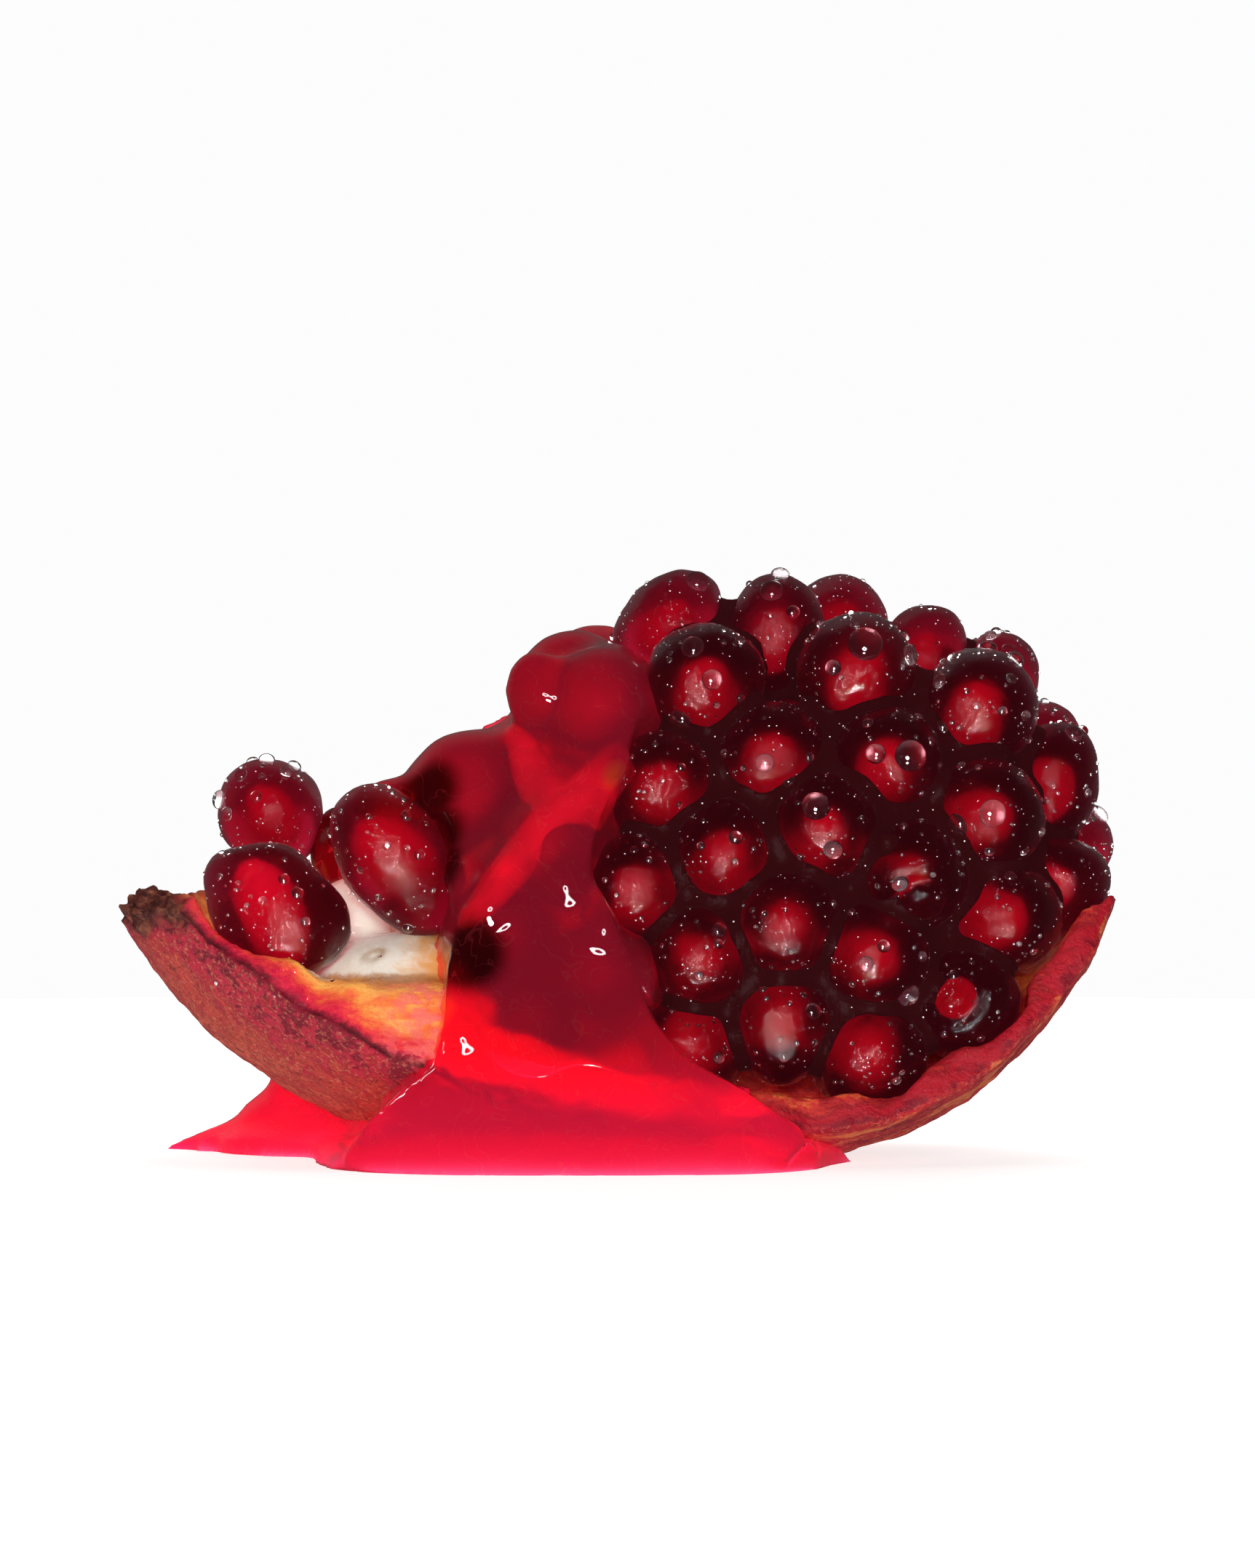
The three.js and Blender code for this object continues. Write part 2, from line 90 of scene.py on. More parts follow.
def merged_copy(node, name):
    """A copy of a CAD node as its own object, with its loose triangles joined."""
    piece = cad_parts[node].copy()
    piece.data = piece.data.copy()
    piece.name = piece.data.name = name
    piece.parent = None
    piece.data.materials.clear()
    for key in list(piece.keys()):
        del piece[key]
    bpy.context.scene.collection.objects.link(piece)
    welded = bmesh.new()
    welded.from_mesh(piece.data)
    bmesh.ops.remove_doubles(welded, verts=welded.verts, dist=0.004 * MM)
    welded.to_mesh(piece.data)
    welded.free()
    return piece


def places(piece):
    """The piece's vertices as an array of rows."""
    found = np.zeros(len(piece.data.vertices) * 3)
    piece.data.vertices.foreach_get("co", found)
    return found.reshape(-1, 3)


def set_places(piece, rows):
    """Puts the piece's vertices at the rows of an array."""
    piece.data.vertices.foreach_set("co", np.ascontiguousarray(rows, dtype=np.float32).ravel())
    piece.data.update()


def vertex_normals(piece):
    """The directions in which the piece's vertices face, as rows."""
    found = np.zeros(len(piece.data.vertices) * 3, dtype=np.float32)
    piece.data.vertex_normals.foreach_get("vector", found)
    return found.reshape(-1, 3).astype(float)


def shade_smooth(piece):
    only(piece)
    bpy.ops.object.shade_smooth()


def paint(piece, name, values):
    """Stores one number a vertex under a name, for the piece's material to read."""
    layer = piece.data.attributes.new(name, "FLOAT", "POINT")
    layer.data.foreach_set("value", np.ascontiguousarray(values, dtype=np.float32))


def joined_with(piece, others):
    """The piece with the other objects joined into it."""
    bpy.ops.object.select_all(action="DESELECT")
    for part in [piece, *others]:
        part.select_set(True)
    bpy.context.view_layer.objects.active = piece
    bpy.ops.object.join()
    return piece


def drop_crumbs(piece, fewest):
    """Deletes loose parts of fewer than that many vertices."""
    owner = list(range(len(piece.data.vertices)))

    def head(k):
        while owner[k] != k:
            owner[k] = owner[owner[k]]
            k = owner[k]
        return k

    for edge in piece.data.edges:
        first, second = (head(k) for k in edge.vertices)
        owner[first] = second
    heads = np.array([head(k) for k in range(len(owner))])
    sizes = np.bincount(heads, minlength=len(heads))[heads]
    only(piece)
    bpy.ops.object.mode_set(mode="EDIT")
    bpy.ops.mesh.select_all(action="DESELECT")
    bpy.ops.object.mode_set(mode="OBJECT")
    piece.data.vertices.foreach_set("select", sizes < fewest)
    bpy.ops.object.mode_set(mode="EDIT")
    bpy.ops.mesh.delete(type="VERT")
    bpy.ops.object.mode_set(mode="OBJECT")


def blob(middle, reach):
    """A ball stretched to reach millimetres each way, to be melted into a larger piece."""
    bpy.ops.object.select_all(action="DESELECT")
    bpy.ops.mesh.primitive_uv_sphere_add(segments=32, ring_count=20, radius=1)
    ball = bpy.context.object
    ball.scale = Vector(reach) * MM
    ball.location = Vector(middle) * MM
    return ball


# ---------------------------------------------------------------- shader tools
class Shader:
    """A material's node tree, with short calls for the nodes that this object uses."""

    def __init__(self, name):
        self.material = bpy.data.materials.new(name)
        self.material.use_nodes = True
        self.tree = self.material.node_tree
        self.surface = self.tree.nodes["Principled BSDF"]
        self.place = self.node("ShaderNodeTexCoord").outputs["Object"]

    def node(self, kind, **inputs):
        """A new node with its inputs fed; an underscore in an input's name stands for a space."""
        made = self.tree.nodes.new(kind)
        for key, value in inputs.items():
            self.feed(made.inputs[key.replace("_", " ")], value)
        return made

    def feed(self, socket, value):
        """Links another node's output to the socket, or sets its plain value."""
        if isinstance(value, bpy.types.NodeSocket):
            self.tree.links.new(value, socket)
        else:
            socket.default_value = value

    def set(self, **inputs):
        """Feeds the main shader's inputs."""
        for key, value in inputs.items():
            self.feed(self.surface.inputs[key.replace("_", " ")], value)

    def attribute(self, name):
        made = self.node("ShaderNodeAttribute")
        made.attribute_name = name
        return made.outputs["Fac"]

    def noise(self, size, detail=4.0, roughness=0.55, distortion=0.0, place=None):
        """Soft noise whose blobs are about size millimetres across."""
        made = self.node("ShaderNodeTexNoise", Scale=1 / (size * MM), Detail=detail, Roughness=roughness,
                         Distortion=distortion)
        self.feed(made.inputs["Vector"], place or self.place)
        return made.outputs["Fac"]

    def cells(self, size):
        """Distance to the nearest of random points, about size millimetres apart."""
        made = self.node("ShaderNodeTexVoronoi", Scale=1 / (size * MM))
        self.feed(made.inputs["Vector"], self.place)
        return made.outputs["Distance"]

    def stretched(self, scale):
        """Object coordinates scaled along each axis."""
        made = self.node("ShaderNodeMapping", Vector=self.place)
        made.inputs["Scale"].default_value = scale
        return made.outputs["Vector"]

    def remap(self, value, low, high, to_low=0.0, to_high=1.0):
        """A smooth step of the value from one range to another."""
        made = self.node("ShaderNodeMapRange", Value=value)
        made.interpolation_type = "SMOOTHSTEP"
        for key, number in (("From Min", low), ("From Max", high), ("To Min", to_low), ("To Max", to_high)):
            made.inputs[key].default_value = number
        return made.outputs["Result"]

    def sum(self, *terms):
        total = terms[0]
        for term in terms[1:]:
            total = self.math("ADD", total, term)
        return total

    def math(self, operation, first, second=0.0):
        made = self.node("ShaderNodeMath")
        made.operation = operation
        self.feed(made.inputs[0], first)
        self.feed(made.inputs[1], second)
        return made.outputs[0]

    def ramp(self, value, stops):
        """A colour for each value, from (place, colour) stops."""
        made = self.node("ShaderNodeValToRGB", Fac=value)
        elements = made.color_ramp.elements
        while len(elements) < len(stops):
            elements.new(0.5)
        for element, (at, colour) in zip(elements, stops):
            element.position = at
            element.color = (*colour, 1)
        return made.outputs["Color"]

    def mix(self, share, first, second):
        """One colour over another by a share from 0 to 1."""
        made = self.node("ShaderNodeMix")
        made.data_type = "RGBA"
        self.feed(made.inputs["Factor"], share)
        for socket, colour in ((made.inputs[6], first), (made.inputs[7], second)):
            self.feed(socket, (*colour, 1) if isinstance(colour, tuple) else colour)
        return made.outputs[2]

    def bump(self, height, depth, strength=1.0, below=None):
        """A normal from a height, where 1 stands depth millimetres out."""
        made = self.node("ShaderNodeBump", Height=height, Strength=strength, Distance=depth * MM)
        if below is not None:
            self.feed(made.inputs["Normal"], below)
        return made.outputs["Normal"]

    def absorb(self, colour, density):
        """Light fades to colour inside the piece."""
        made = self.node("ShaderNodeVolumeAbsorption")
        made.inputs["Color"].default_value = (*colour, 1)
        made.inputs["Density"].default_value = density
        self.feed(self.tree.nodes["Material Output"].inputs["Volume"], made.outputs[0])

    def let_lamps_through(self, colour):
        """Lamps shine into the piece, tinted, instead of being stopped at its surface."""
        clear = self.node("ShaderNodeBsdfTransparent")
        clear.inputs["Color"].default_value = (*colour, 1)
        to_lamp = self.node("ShaderNodeLightPath").outputs["Is Shadow Ray"]
        mixed = self.node("ShaderNodeMixShader", Fac=to_lamp)
        self.feed(mixed.inputs[1], self.surface.outputs[0])
        self.feed(mixed.inputs[2], clear.outputs[0])
        self.feed(self.tree.nodes["Material Output"].inputs["Surface"], mixed.outputs[0])


# ---------------------------------------------------------------- materials
def aril_material():
    """The wet, clear sac of juice: light fades to dark red in it, and its fine folds break up glints."""
    made = Shader("aril_sac")
    folds = made.noise(1.6, detail=1, distortion=0.7)
    crimps = made.noise(0.45, detail=2, roughness=0.5, distortion=1.6)
    soft = made.bump(folds, 0.05)
    # painted shade: the sac's colour is darkened, and its coat's glints weakened, where the seed's shade
    # attribute is high
    painted_shade = made.attribute("painted_shade")
    colour = made.mix(painted_shade, (0.93, 0.45, 0.52), (0.16, 0.01, 0.03))
    made.set(Base_Color=colour, Roughness=0.4, IOR=1.36, Transmission_Weight=1.0,
             Specular_Tint=(0, 0, 0, 1), Normal=soft, Coat_Roughness=0.02, Coat_IOR=1.28,
             Coat_Weight=made.math("SUBTRACT", 1.0, made.math("MULTIPLY", painted_shade, 0.8)),
             Coat_Normal=made.bump(crimps, 0.085, below=soft),
             # a faint painted glow in the juice, so that the rims read dark red
             Emission_Color=(1, 0.05, 0.13, 1), Emission_Strength=0.02)
    made.absorb((0.72, 0.2, 0.4), 1000)
    made.let_lamps_through((0.95, 0.8, 0.8))
    return made.material


def kernel_material():
    """The hard seed inside an aril, red in its juice, with a strong painted glow."""
    made = Shader("seed_kernel")
    colour = made.ramp(made.noise(1.6, detail=4, distortion=1.0),
                       [(0.3, (0.5, 0.016, 0.035)), (0.7, (0.82, 0.04, 0.07))])
    made.set(Base_Color=colour, Roughness=0.6, Specular_IOR_Level=0.02,
             Emission_Color=(1, 0.015, 0.09, 1), Emission_Strength=0.6)
    return made.material


def groove_material():
    """Juice between the seeds, painted near black as shade, with a faint painted glow."""
    made = Shader("groove_juice_and_shade")
    normal = made.bump(made.noise(1.2, detail=2, distortion=0.8), 0.08)
    made.set(Base_Color=(0.014, 0.001, 0.0015, 1), Roughness=0.3, Specular_IOR_Level=0.02, Normal=normal,
             Emission_Color=(1, 0.13, 0.18, 1), Emission_Strength=0.017)
    return made.material


def rind_material():
    """Leathery skin, and a cut face that goes from magenta over orange to wet cream pith."""
    made = Shader("rind_skin_and_pith")
    depth, rim = made.attribute("depth_mm"), made.attribute("rim_mm")
    dry, socket = made.attribute("dry"), made.attribute("socket")
    along = made.node("ShaderNodeSeparateXYZ", Vector=made.place).outputs["X"]
    blotch = made.noise(4.5, detail=5, roughness=0.6, distortion=0.8)
    mottle = made.noise(1.4, detail=6, roughness=0.7, distortion=0.6)
    grain = made.noise(0.35, detail=4, roughness=0.65)

    def shifted(value, by, amount):
        return made.sum(value, made.math("MULTIPLY", made.math("SUBTRACT", by, 0.5), amount))

    worn = shifted(made.math("DIVIDE", rim, 16.0), mottle, 1.7)
    worn = shifted(worn, blotch, 1.0)
    old_skin = made.ramp(worn, [
        (0.0, (0.22, 0.008, 0.022)), (0.16, (0.52, 0.014, 0.045)), (0.34, (0.36, 0.016, 0.024)),
        (0.5, (0.52, 0.05, 0.036)), (0.66, (0.36, 0.026, 0.022)), (0.82, (0.58, 0.09, 0.05)),
        (1.0, (0.44, 0.042, 0.03))])
    length = made.noise(2.2, detail=5, roughness=0.6, distortion=0.5,
                        place=made.stretched((0.35, 1.0, 0.5)))
    fresh_skin = made.ramp(shifted(length, grain, 0.25), [
        (0.3, (0.12, 0.003, 0.01)), (0.43, (0.40, 0.006, 0.02)), (0.54, (0.52, 0.02, 0.022)),
        (0.63, (0.72, 0.18, 0.05)), (0.74, (0.45, 0.03, 0.02))])
    skin = made.mix(made.remap(along, -0.012, 0.02), old_skin, fresh_skin)
    skin = made.mix(made.remap(made.cells(0.8), 0.22, 0.05, 0.0, 0.7), skin, (0.05, 0.008, 0.008))
    skin = made.mix(made.remap(grain, 0.52, 0.66, 0.0, 0.6), skin, (0.6, 0.19, 0.10))
    streaks = made.noise(0.9, detail=6, roughness=0.65, distortion=0.4,
                         place=made.stretched((0.35, 1.0, 1.0)))
    wander = shifted(shifted(shifted(depth, blotch, 3.4), streaks, 3.6), grain, 1.4)
    cut = made.ramp(made.math("DIVIDE", wander, 8.0), [
        (0.0, (0.34, 0.006, 0.03)), (0.12, (0.70, 0.012, 0.05)), (0.24, (0.88, 0.05, 0.05)),
        (0.36, (0.95, 0.2, 0.045)), (0.5, (1.0, 0.46, 0.10)), (0.58, (0.86, 0.28, 0.06)),
        (0.7, (0.8, 0.42, 0.16))])
    fresh_cut = made.ramp(shifted(made.math("DIVIDE", wander, 8.0), length, 1.1), [
        (0.0, (0.22, 0.004, 0.014)), (0.16, (0.46, 0.008, 0.02)), (0.3, (0.30, 0.008, 0.014)),
        (0.42, (0.58, 0.03, 0.025)), (0.56, (0.85, 0.24, 0.05)), (0.7, (0.7, 0.26, 0.06))])
    cut = made.mix(made.remap(along, -0.004, 0.014), cut, fresh_cut)
    pith = made.ramp(blotch, [
        (0.3, (0.76, 0.60, 0.40)), (0.42, (0.92, 0.84, 0.70)), (0.7, (0.96, 0.92, 0.83))])
    pith = made.mix(socket, pith, (0.42, 0.22, 0.10))
    # painted glow: the pith turns amber towards its right end, where the syrup's edge meets it
    pith = made.mix(made.remap(shifted(along, mottle, 0.007), -0.0195, -0.0145), pith, (0.78, 0.36, 0.10))
    pith = made.mix(made.remap(along, -0.012, -0.004), pith, (0.4, 0.13, 0.04))
    torn = made.math("MULTIPLY", made.remap(along, -0.021, -0.0165),
                     made.remap(mottle, 0.42, 0.55, 0.0, 0.75))
    torn = made.math("MULTIPLY", torn, made.remap(along, -0.008, -0.013))
    cut = made.mix(torn, cut, (0.95, 0.16, 0.15))
    edge = shifted(depth, mottle, 1.6)
    brink = made.math("MULTIPLY", made.remap(edge, 4.2, 4.8), made.remap(edge, 5.6, 5.0))
    colour = made.mix(made.remap(edge, 4.5, 5.1), cut, pith)
    colour = made.mix(made.math("MULTIPLY", brink, 0.7), colour, (0.55, 0.22, 0.05))
    # painted shade: the cut face is darkened to near black along the groove just under the skin, on the left
    # part
    groove = made.math("MULTIPLY", made.remap(edge, 1.3, 0.5), made.remap(along, 0.0, -0.012))
    groove = made.math("MULTIPLY", groove, made.remap(blotch, 0.35, 0.55, 0.35, 0.9))
    colour = made.mix(groove, colour, (0.05, 0.005, 0.009))
    colour = made.mix(made.remap(edge, 0.4, 0.1), colour, skin)
    burnt = made.ramp(mottle, [(0.35, (0.03, 0.008, 0.008)), (0.5, (0.10, 0.022, 0.016)),
                               (0.62, (0.2, 0.06, 0.03)), (0.75, (0.4, 0.2, 0.07))])
    colour = made.mix(dry, colour, burnt)
    smooth = made.remap(depth, 4.5, 5.2)
    pits = made.bump(grain, 0.2, strength=made.math("SUBTRACT", 1.0, made.math("MULTIPLY", smooth, 0.8)))
    leather = made.bump(made.cells(0.8), 0.08, below=pits,
                        strength=made.math("SUBTRACT", 1.0, made.math("MULTIPLY", smooth, 0.9)))
    rough = made.remap(mottle, 0.3, 0.7, 0.28, 0.55)
    made.set(Base_Color=colour, Normal=leather, Specular_IOR_Level=0.4,
             Roughness=made.sum(made.math("SUBTRACT", rough, made.math("MULTIPLY", smooth, 0.18)),
                                made.math("MULTIPLY", groove, 0.4)))
    return made.material


def drowned_material():
    """A seed under the syrup, with painted light in its colour: bright only where it is marked to glow, near
    black elsewhere.
    """
    made = Shader("drowned_seed")
    blotch = made.noise(2.2, detail=3)
    painted_crown_glow = made.sum(made.attribute("painted_crown_glow"), made.math("MULTIPLY", blotch, 0.3), -0.1)
    colour = made.ramp(painted_crown_glow, [(0.1, (0.006, 0.0005, 0.001)), (0.35, (0.03, 0.001, 0.002)),
                               (0.6, (0.09, 0.003, 0.005)), (1.0, (0.15, 0.005, 0.009))])
    made.set(Base_Color=colour, Roughness=0.5)
    return made.material


def ridge_material():
    """Pale pith that shows through the syrup."""
    made = Shader("drowned_pith")
    colour = made.ramp(made.noise(2.5, detail=4), [(0.3, (0.3, 0.06, 0.07)), (0.65, (0.5, 0.2, 0.2))])
    made.set(Base_Color=colour, Roughness=0.6)
    return made.material


def syrup_material():
    """Thick red syrup: cloudy below, glossy on top, with a painted glow that is strongest low down."""
    made = Shader("juice_syrup")
    normal = made.bump(made.noise(6, detail=2), 0.25)
    high = made.node("ShaderNodeSeparateXYZ", Vector=made.place).outputs["Z"]
    colour = made.mix(made.remap(high, 0.004, 0.010), (0.92, 0.022, 0.14), (0.86, 0.018, 0.075))
    # painted shade: the syrup is darkened on the listed patches, partly for its darker films
    colour = made.mix(made.attribute("film_shade"), colour, (0.06, 0.001, 0.004))
    # painted glow: amber where the pith lies behind the syrup
    colour = made.mix(made.attribute("amber_painted_glow"), colour, (1.0, 0.15, 0.05))
    line = made.math("ABSOLUTE", made.math("SUBTRACT", made.noise(5, detail=2, distortion=1.6), 0.5))
    colour = made.mix(made.remap(line, 0.012, 0.0, 0.0, 0.2), colour, (1.0, 0.12, 0.16))
    # painted glow in the syrup, bright low down and dim higher up
    glow = made.mix(made.remap(high, 0.003, 0.011), (1, 0.03, 0.10), (0.33, 0.01, 0.02))
    glow = made.mix(made.attribute("film_shade"), glow, (0.03, 0.001, 0.002))
    made.set(Base_Color=colour, Roughness=made.remap(high, 0.012, 0.024, 0.5, 0.3), IOR=1.36,
             Transmission_Weight=0.87, Specular_Tint=(0, 0, 0, 1), Normal=normal,
             Coat_Weight=1.0, Coat_Roughness=0.0, Coat_IOR=1.5,
             Emission_Color=glow, Emission_Strength=0.16)
    made.absorb((0.95, 0.15, 0.30), 600)
    made.let_lamps_through((0.95, 0.25, 0.3))
    return made.material


# ---------------------------------------------------------------- arils
OUTER_PUSH = 0.34 * MM  # on a free side; it makes up for what the subdivision takes off
SHOULDER_PUSH = 1.15 * MM  # the most towards a neighbour, so that packed seeds fill their grooves
HALF_SEAM = 0.03 * MM  # what stays open to the middle between two seeds
NEIGHBOUR_REACH = 4 * MM  # past this a side is free


def tree_of(pieces):
    """One search tree of the faces of several pieces."""
    rows, faces = [], []
    for piece in pieces:
        start = len(rows)
        rows += [v.co.copy() for v in piece.data.vertices]
        faces += [[start + k for k in face.vertices] for face in piece.data.polygons]
    return BVHTree.FromPolygons(rows, faces)


def edge_ends(piece):
    """The two vertices of each edge, as rows."""
    ends = np.zeros(len(piece.data.edges) * 2, dtype=int)
    piece.data.edges.foreach_get("vertices", ends)
    return ends.reshape(-1, 2)


def spread_out(piece, values, rounds):
    """Evens out numbers over a mesh by averaging each with its neighbours."""
    ends = edge_ends(piece)
    count = np.bincount(ends.ravel(), minlength=len(values))
    for _ in range(rounds):
        total = np.bincount(ends[:, 0], values[ends[:, 1]], len(values))
        total += np.bincount(ends[:, 1], values[ends[:, 0]], len(values))
        values = 0.5 * values + 0.5 * total / count
    return values


def fill_out(piece, others):
    """Swells a seed on its free side, and at its shoulders until it meets its neighbours half way."""
    rows, normals = places(piece), vertex_normals(piece)
    push = np.full(len(rows), OUTER_PUSH)
    for k, (row, normal) in enumerate(zip(rows, normals)):
        reach = others.ray_cast(Vector(row + normal * 0.03 * MM), Vector(normal), NEIGHBOUR_REACH)[3]
        if reach is not None:
            push[k] = min(reach / 2 - HALF_SEAM, SHOULDER_PUSH)
    set_places(piece, rows + normals * spread_out(piece, push, 3)[:, None])


def ripple(piece, size, depth, seed):
    """Soft dents and folds of about size millimetres, depth millimetres deep."""
    rows, normals = places(piece), vertex_normals(piece)
    offset = Vector((seed * 7.3, seed * 3.1, seed * 5.7))
    heights = [noise.noise(Vector(row) / (size * MM) + offset) for row in rows]
    set_places(piece, rows + normals * np.array(heights)[:, None] * depth * MM)


def soft_step(values, low, high):
    """0 at low and 1 at high, with soft ends; low may be the larger of the two."""
    share = np.clip((values - low) / (high - low), 0, 1)
    return share * share * (3 - 2 * share)


# Places, reaches and moves in the tables of this file are in millimetres.
ARIL_PUSHES = {  # where a seed bulges or is hollow: middle and reach of the patch, and its move
    "aril_loose_1": [((-26.4, -2.5, 27.6), 2.5, (-0.3, 0.0, 0.3))],
    "aril_loose_2": [
        ((-28.0, -10.0, 23.5), 7.5, (0.0, 0.0, 2.1)), ((-23.6, -10.0, 20.4), 4.5, (0.2, 0.0, 1.0))],
    "aril_loose_3": [
        ((-15.4, -7.0, 21.2), 7.5, (1.3, 0.0, -0.9)), ((-21.8, -8.0, 25.2), 3.0, (0.4, 0.0, -0.4)),
        ((-14.2, -8.0, 22.2), 4.5, (1.2, 0.0, 0.2)), ((-17.6, -8.0, 19.4), 4.0, (-0.3, 0.0, -0.7))],
}
ARIL_PAINTED_SHADE = {  # painted shade, where a seed is made darkest: middle, reach and how dark
    "aril_loose_1": ((-28.5, 0.0, 29.0), 10.0, 0.4),
    "aril_loose_2": ((-22.5, -9.0, 22.5), 6.0, 0.8),
    "aril_loose_3": ((-14.6, -9.0, 20.6), 8.5, 1.0),
}
ARIL_RINGS = {  # a seed that has sunk in round its crown: middle of the ring, its reach and depth
    "aril_front_13": ((24.6, -13.6, 20.8), 2.6, 0.75),
    "aril_front_4": ((26.6, -14.0, 14.2), 2.6, 0.75),
}
USUAL_KERNEL = (0.35, 0.37, 0.5)
# how much painted shade darkens each crest seed all over
CREST_PAINTED_SHADE = 0.55
KERNEL_SHARE = {  # how much of its seed a kernel takes, across, across and along
    "aril_loose_2": (0.42, 0.44, 0.74),
    "aril_loose_3": (0.42, 0.44, 0.66),
    "aril_front_13": (0.28, 0.28, 0.3),
    "aril_front_4": (0.28, 0.28, 0.3),
}


def reshape(piece, node):
    """The bulges, hollows or sunken ring that set one seed apart."""
    rows = places(piece) / MM
    for middle, reach, move in ARIL_PUSHES.get(node, []):
        away = np.linalg.norm(rows - middle, axis=1)
        rows += np.outer(soft_step(away, reach, 0.2), move)
    if node in ARIL_RINGS:
        middle, reach, depth = ARIL_RINGS[node]
        away = np.linalg.norm(rows - middle, axis=1)
        rows -= vertex_normals(piece) * (soft_step(np.abs(away - reach), 1.1, 0.0) * depth)[:, None]
    set_places(piece, rows * MM)


def aril_piece(node, others, seed, material):
    """One seed in its sac: filled out to its neighbours, given its own shape, and lightly dented."""
    piece = merged_copy(node, node.replace("aril", "seed_aril"))
    apply_modifier(piece, "SUBSURF", levels=1, render_levels=1)
    fill_out(piece, others)
    apply_modifier(piece, "SUBSURF", levels=1, render_levels=1)
    apply_modifier(piece, "SMOOTH", factor=0.5, iterations=5)
    reshape(piece, node)
    # paints shade into the seed's colour: evenly on the crest seeds, and on a listed patch of each loose
    # seed
    whole = ((0, 0, 0), 1e3, CREST_PAINTED_SHADE if "crest" in node else 0.0)
    middle, reach, dark = ARIL_PAINTED_SHADE.get(node, whole)
    away = np.linalg.norm(places(piece) / MM - middle, axis=1)
    paint(piece, "painted_shade", dark * soft_step(away, reach, 0.35 * reach))
    ripple(piece, 3.4, 0.3, seed)
    ripple(piece, 1.3, 0.03, seed + 40)
    shade_smooth(piece)
    piece.data.materials.append(material)
    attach(piece, "root")
    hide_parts(node)
    return piece


def kernel_piece(node, rows, material):
    """The hard seed in the middle of an aril whose vertices are rows."""
    centre = rows.mean(axis=0)
    spread = np.linalg.eigh(np.cov((rows - centre).T))
    reach = np.sqrt(spread[0]) * 1.7
    bpy.ops.object.select_all(action="DESELECT")
    bpy.ops.mesh.primitive_uv_sphere_add(segments=20, ring_count=12, radius=1)
    piece = bpy.context.object
    piece.name = piece.data.name = node.replace("aril", "kernel")
    shaped = places(piece) * reach * np.array(KERNEL_SHARE.get(node, USUAL_KERNEL))
    set_places(piece, shaped @ spread[1].T + centre)
    shade_smooth(piece)
    piece.data.materials.append(material)
    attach(piece, "root")
    return piece


def paint_drowned_glow(piece):
    """Marks where a drowned seed gets a painted glow: towards the front left or the back, and less low down.
    """
    facing = np.abs(vertex_normals(piece) @ np.array([0.45, 0.89, -0.1]))
    high = soft_step(places(piece)[:, 2] / MM, 14, 30)
    paint(piece, "painted_crown_glow", np.clip(facing, 0, 1) ** 2 * (0.35 + 0.65 * high))


def make_arils():
    """Every seed, with a kernel in each one that isn't under the syrup."""
    sac = aril_material()
    kernel = kernel_material()
    drowned = drowned_material()
    others = tree_of([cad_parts[n] for n in ARIL_NODES])
    made = {}
    for seed, node in enumerate(ARIL_NODES):
        coated = node in COATED_NODES
        made[node] = aril_piece(node, others, seed, drowned if coated else sac)
        if coated:
            paint_drowned_glow(made[node])
        else:
            kernel_piece(node, places(made[node]), kernel)
    return made


def joined_copy(pieces, name, swell):
    """One object with a swollen copy of each piece."""
    grown = bmesh.new()
    for piece in pieces:
        mesh = piece.data.copy()
        normals = vertex_normals(piece)
        for vertex, normal in zip(mesh.vertices, normals):
            vertex.co += Vector(normal) * swell
        grown.from_mesh(mesh)
        bpy.data.meshes.remove(mesh)
    mesh = bpy.data.meshes.new(name)
    grown.to_mesh(mesh)
    grown.free()
    piece = bpy.data.objects.new(name, mesh)
    bpy.context.scene.collection.objects.link(piece)
    return piece


def cut_out(piece, cutter):
    """Takes the cutter's space out of the piece, and removes the cutter."""
    apply_modifier(piece, "BOOLEAN", operation="DIFFERENCE", solver="MANIFOLD", object=cutter)
    bpy.data.objects.remove(cutter)


GROOVE_SWELL = 0.75 * MM
GROOVE_DRAW_BACK = 1.3 * MM
SEED_CLEARANCE = 0.012 * MM  # between the juice and the seeds that it is cut out for


def make_groove_juice_and_shade(arils):
    """Juice that fills the grooves, near black as painted shade between the seeds: the seeds swollen until
    they meet, drawn back in, and cut out.
    """
    packed = [arils[n] for n in OPEN_NODES if "loose" not in n]
    piece = joined_copy(packed, "groove_juice_and_shade", GROOVE_SWELL)
    apply_modifier(piece, "REMESH", mode="VOXEL", voxel_size=0.6 * MM)
    apply_modifier(piece, "SMOOTH", factor=0.5, iterations=4)
    set_places(piece, places(piece) - vertex_normals(piece) * GROOVE_DRAW_BACK)
    apply_modifier(piece, "REMESH", mode="VOXEL", voxel_size=0.5 * MM)
    apply_modifier(piece, "SMOOTH", factor=0.6, iterations=10)
    drop_crumbs(piece, 3000)
    cut_out(piece, joined_copy(packed, "groove_cutter", SEED_CLEARANCE))
    drop_crumbs(piece, 200)
    only(piece)
    bpy.ops.object.shade_smooth_by_angle(angle=math.radians(40))
    piece.data.materials.clear()
    piece.data.materials.append(groove_material())
    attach(piece, "root")
    return piece


# ---------------------------------------------------------------- rind
FRUIT_HEART = Vector((0, 0, 50)) * MM  # the skin faces away from here


def skin_tree(piece):
    """A search tree of the faces that are skin: those that face away from the fruit's heart."""
    skin = []
    for face in piece.data.polygons:
        outwards = (face.center - FRUIT_HEART).normalized()
        if face.normal.dot(outwards) > 0.45:
            skin.append(list(face.vertices))
    return BVHTree.FromPolygons([v.co for v in piece.data.vertices], skin)


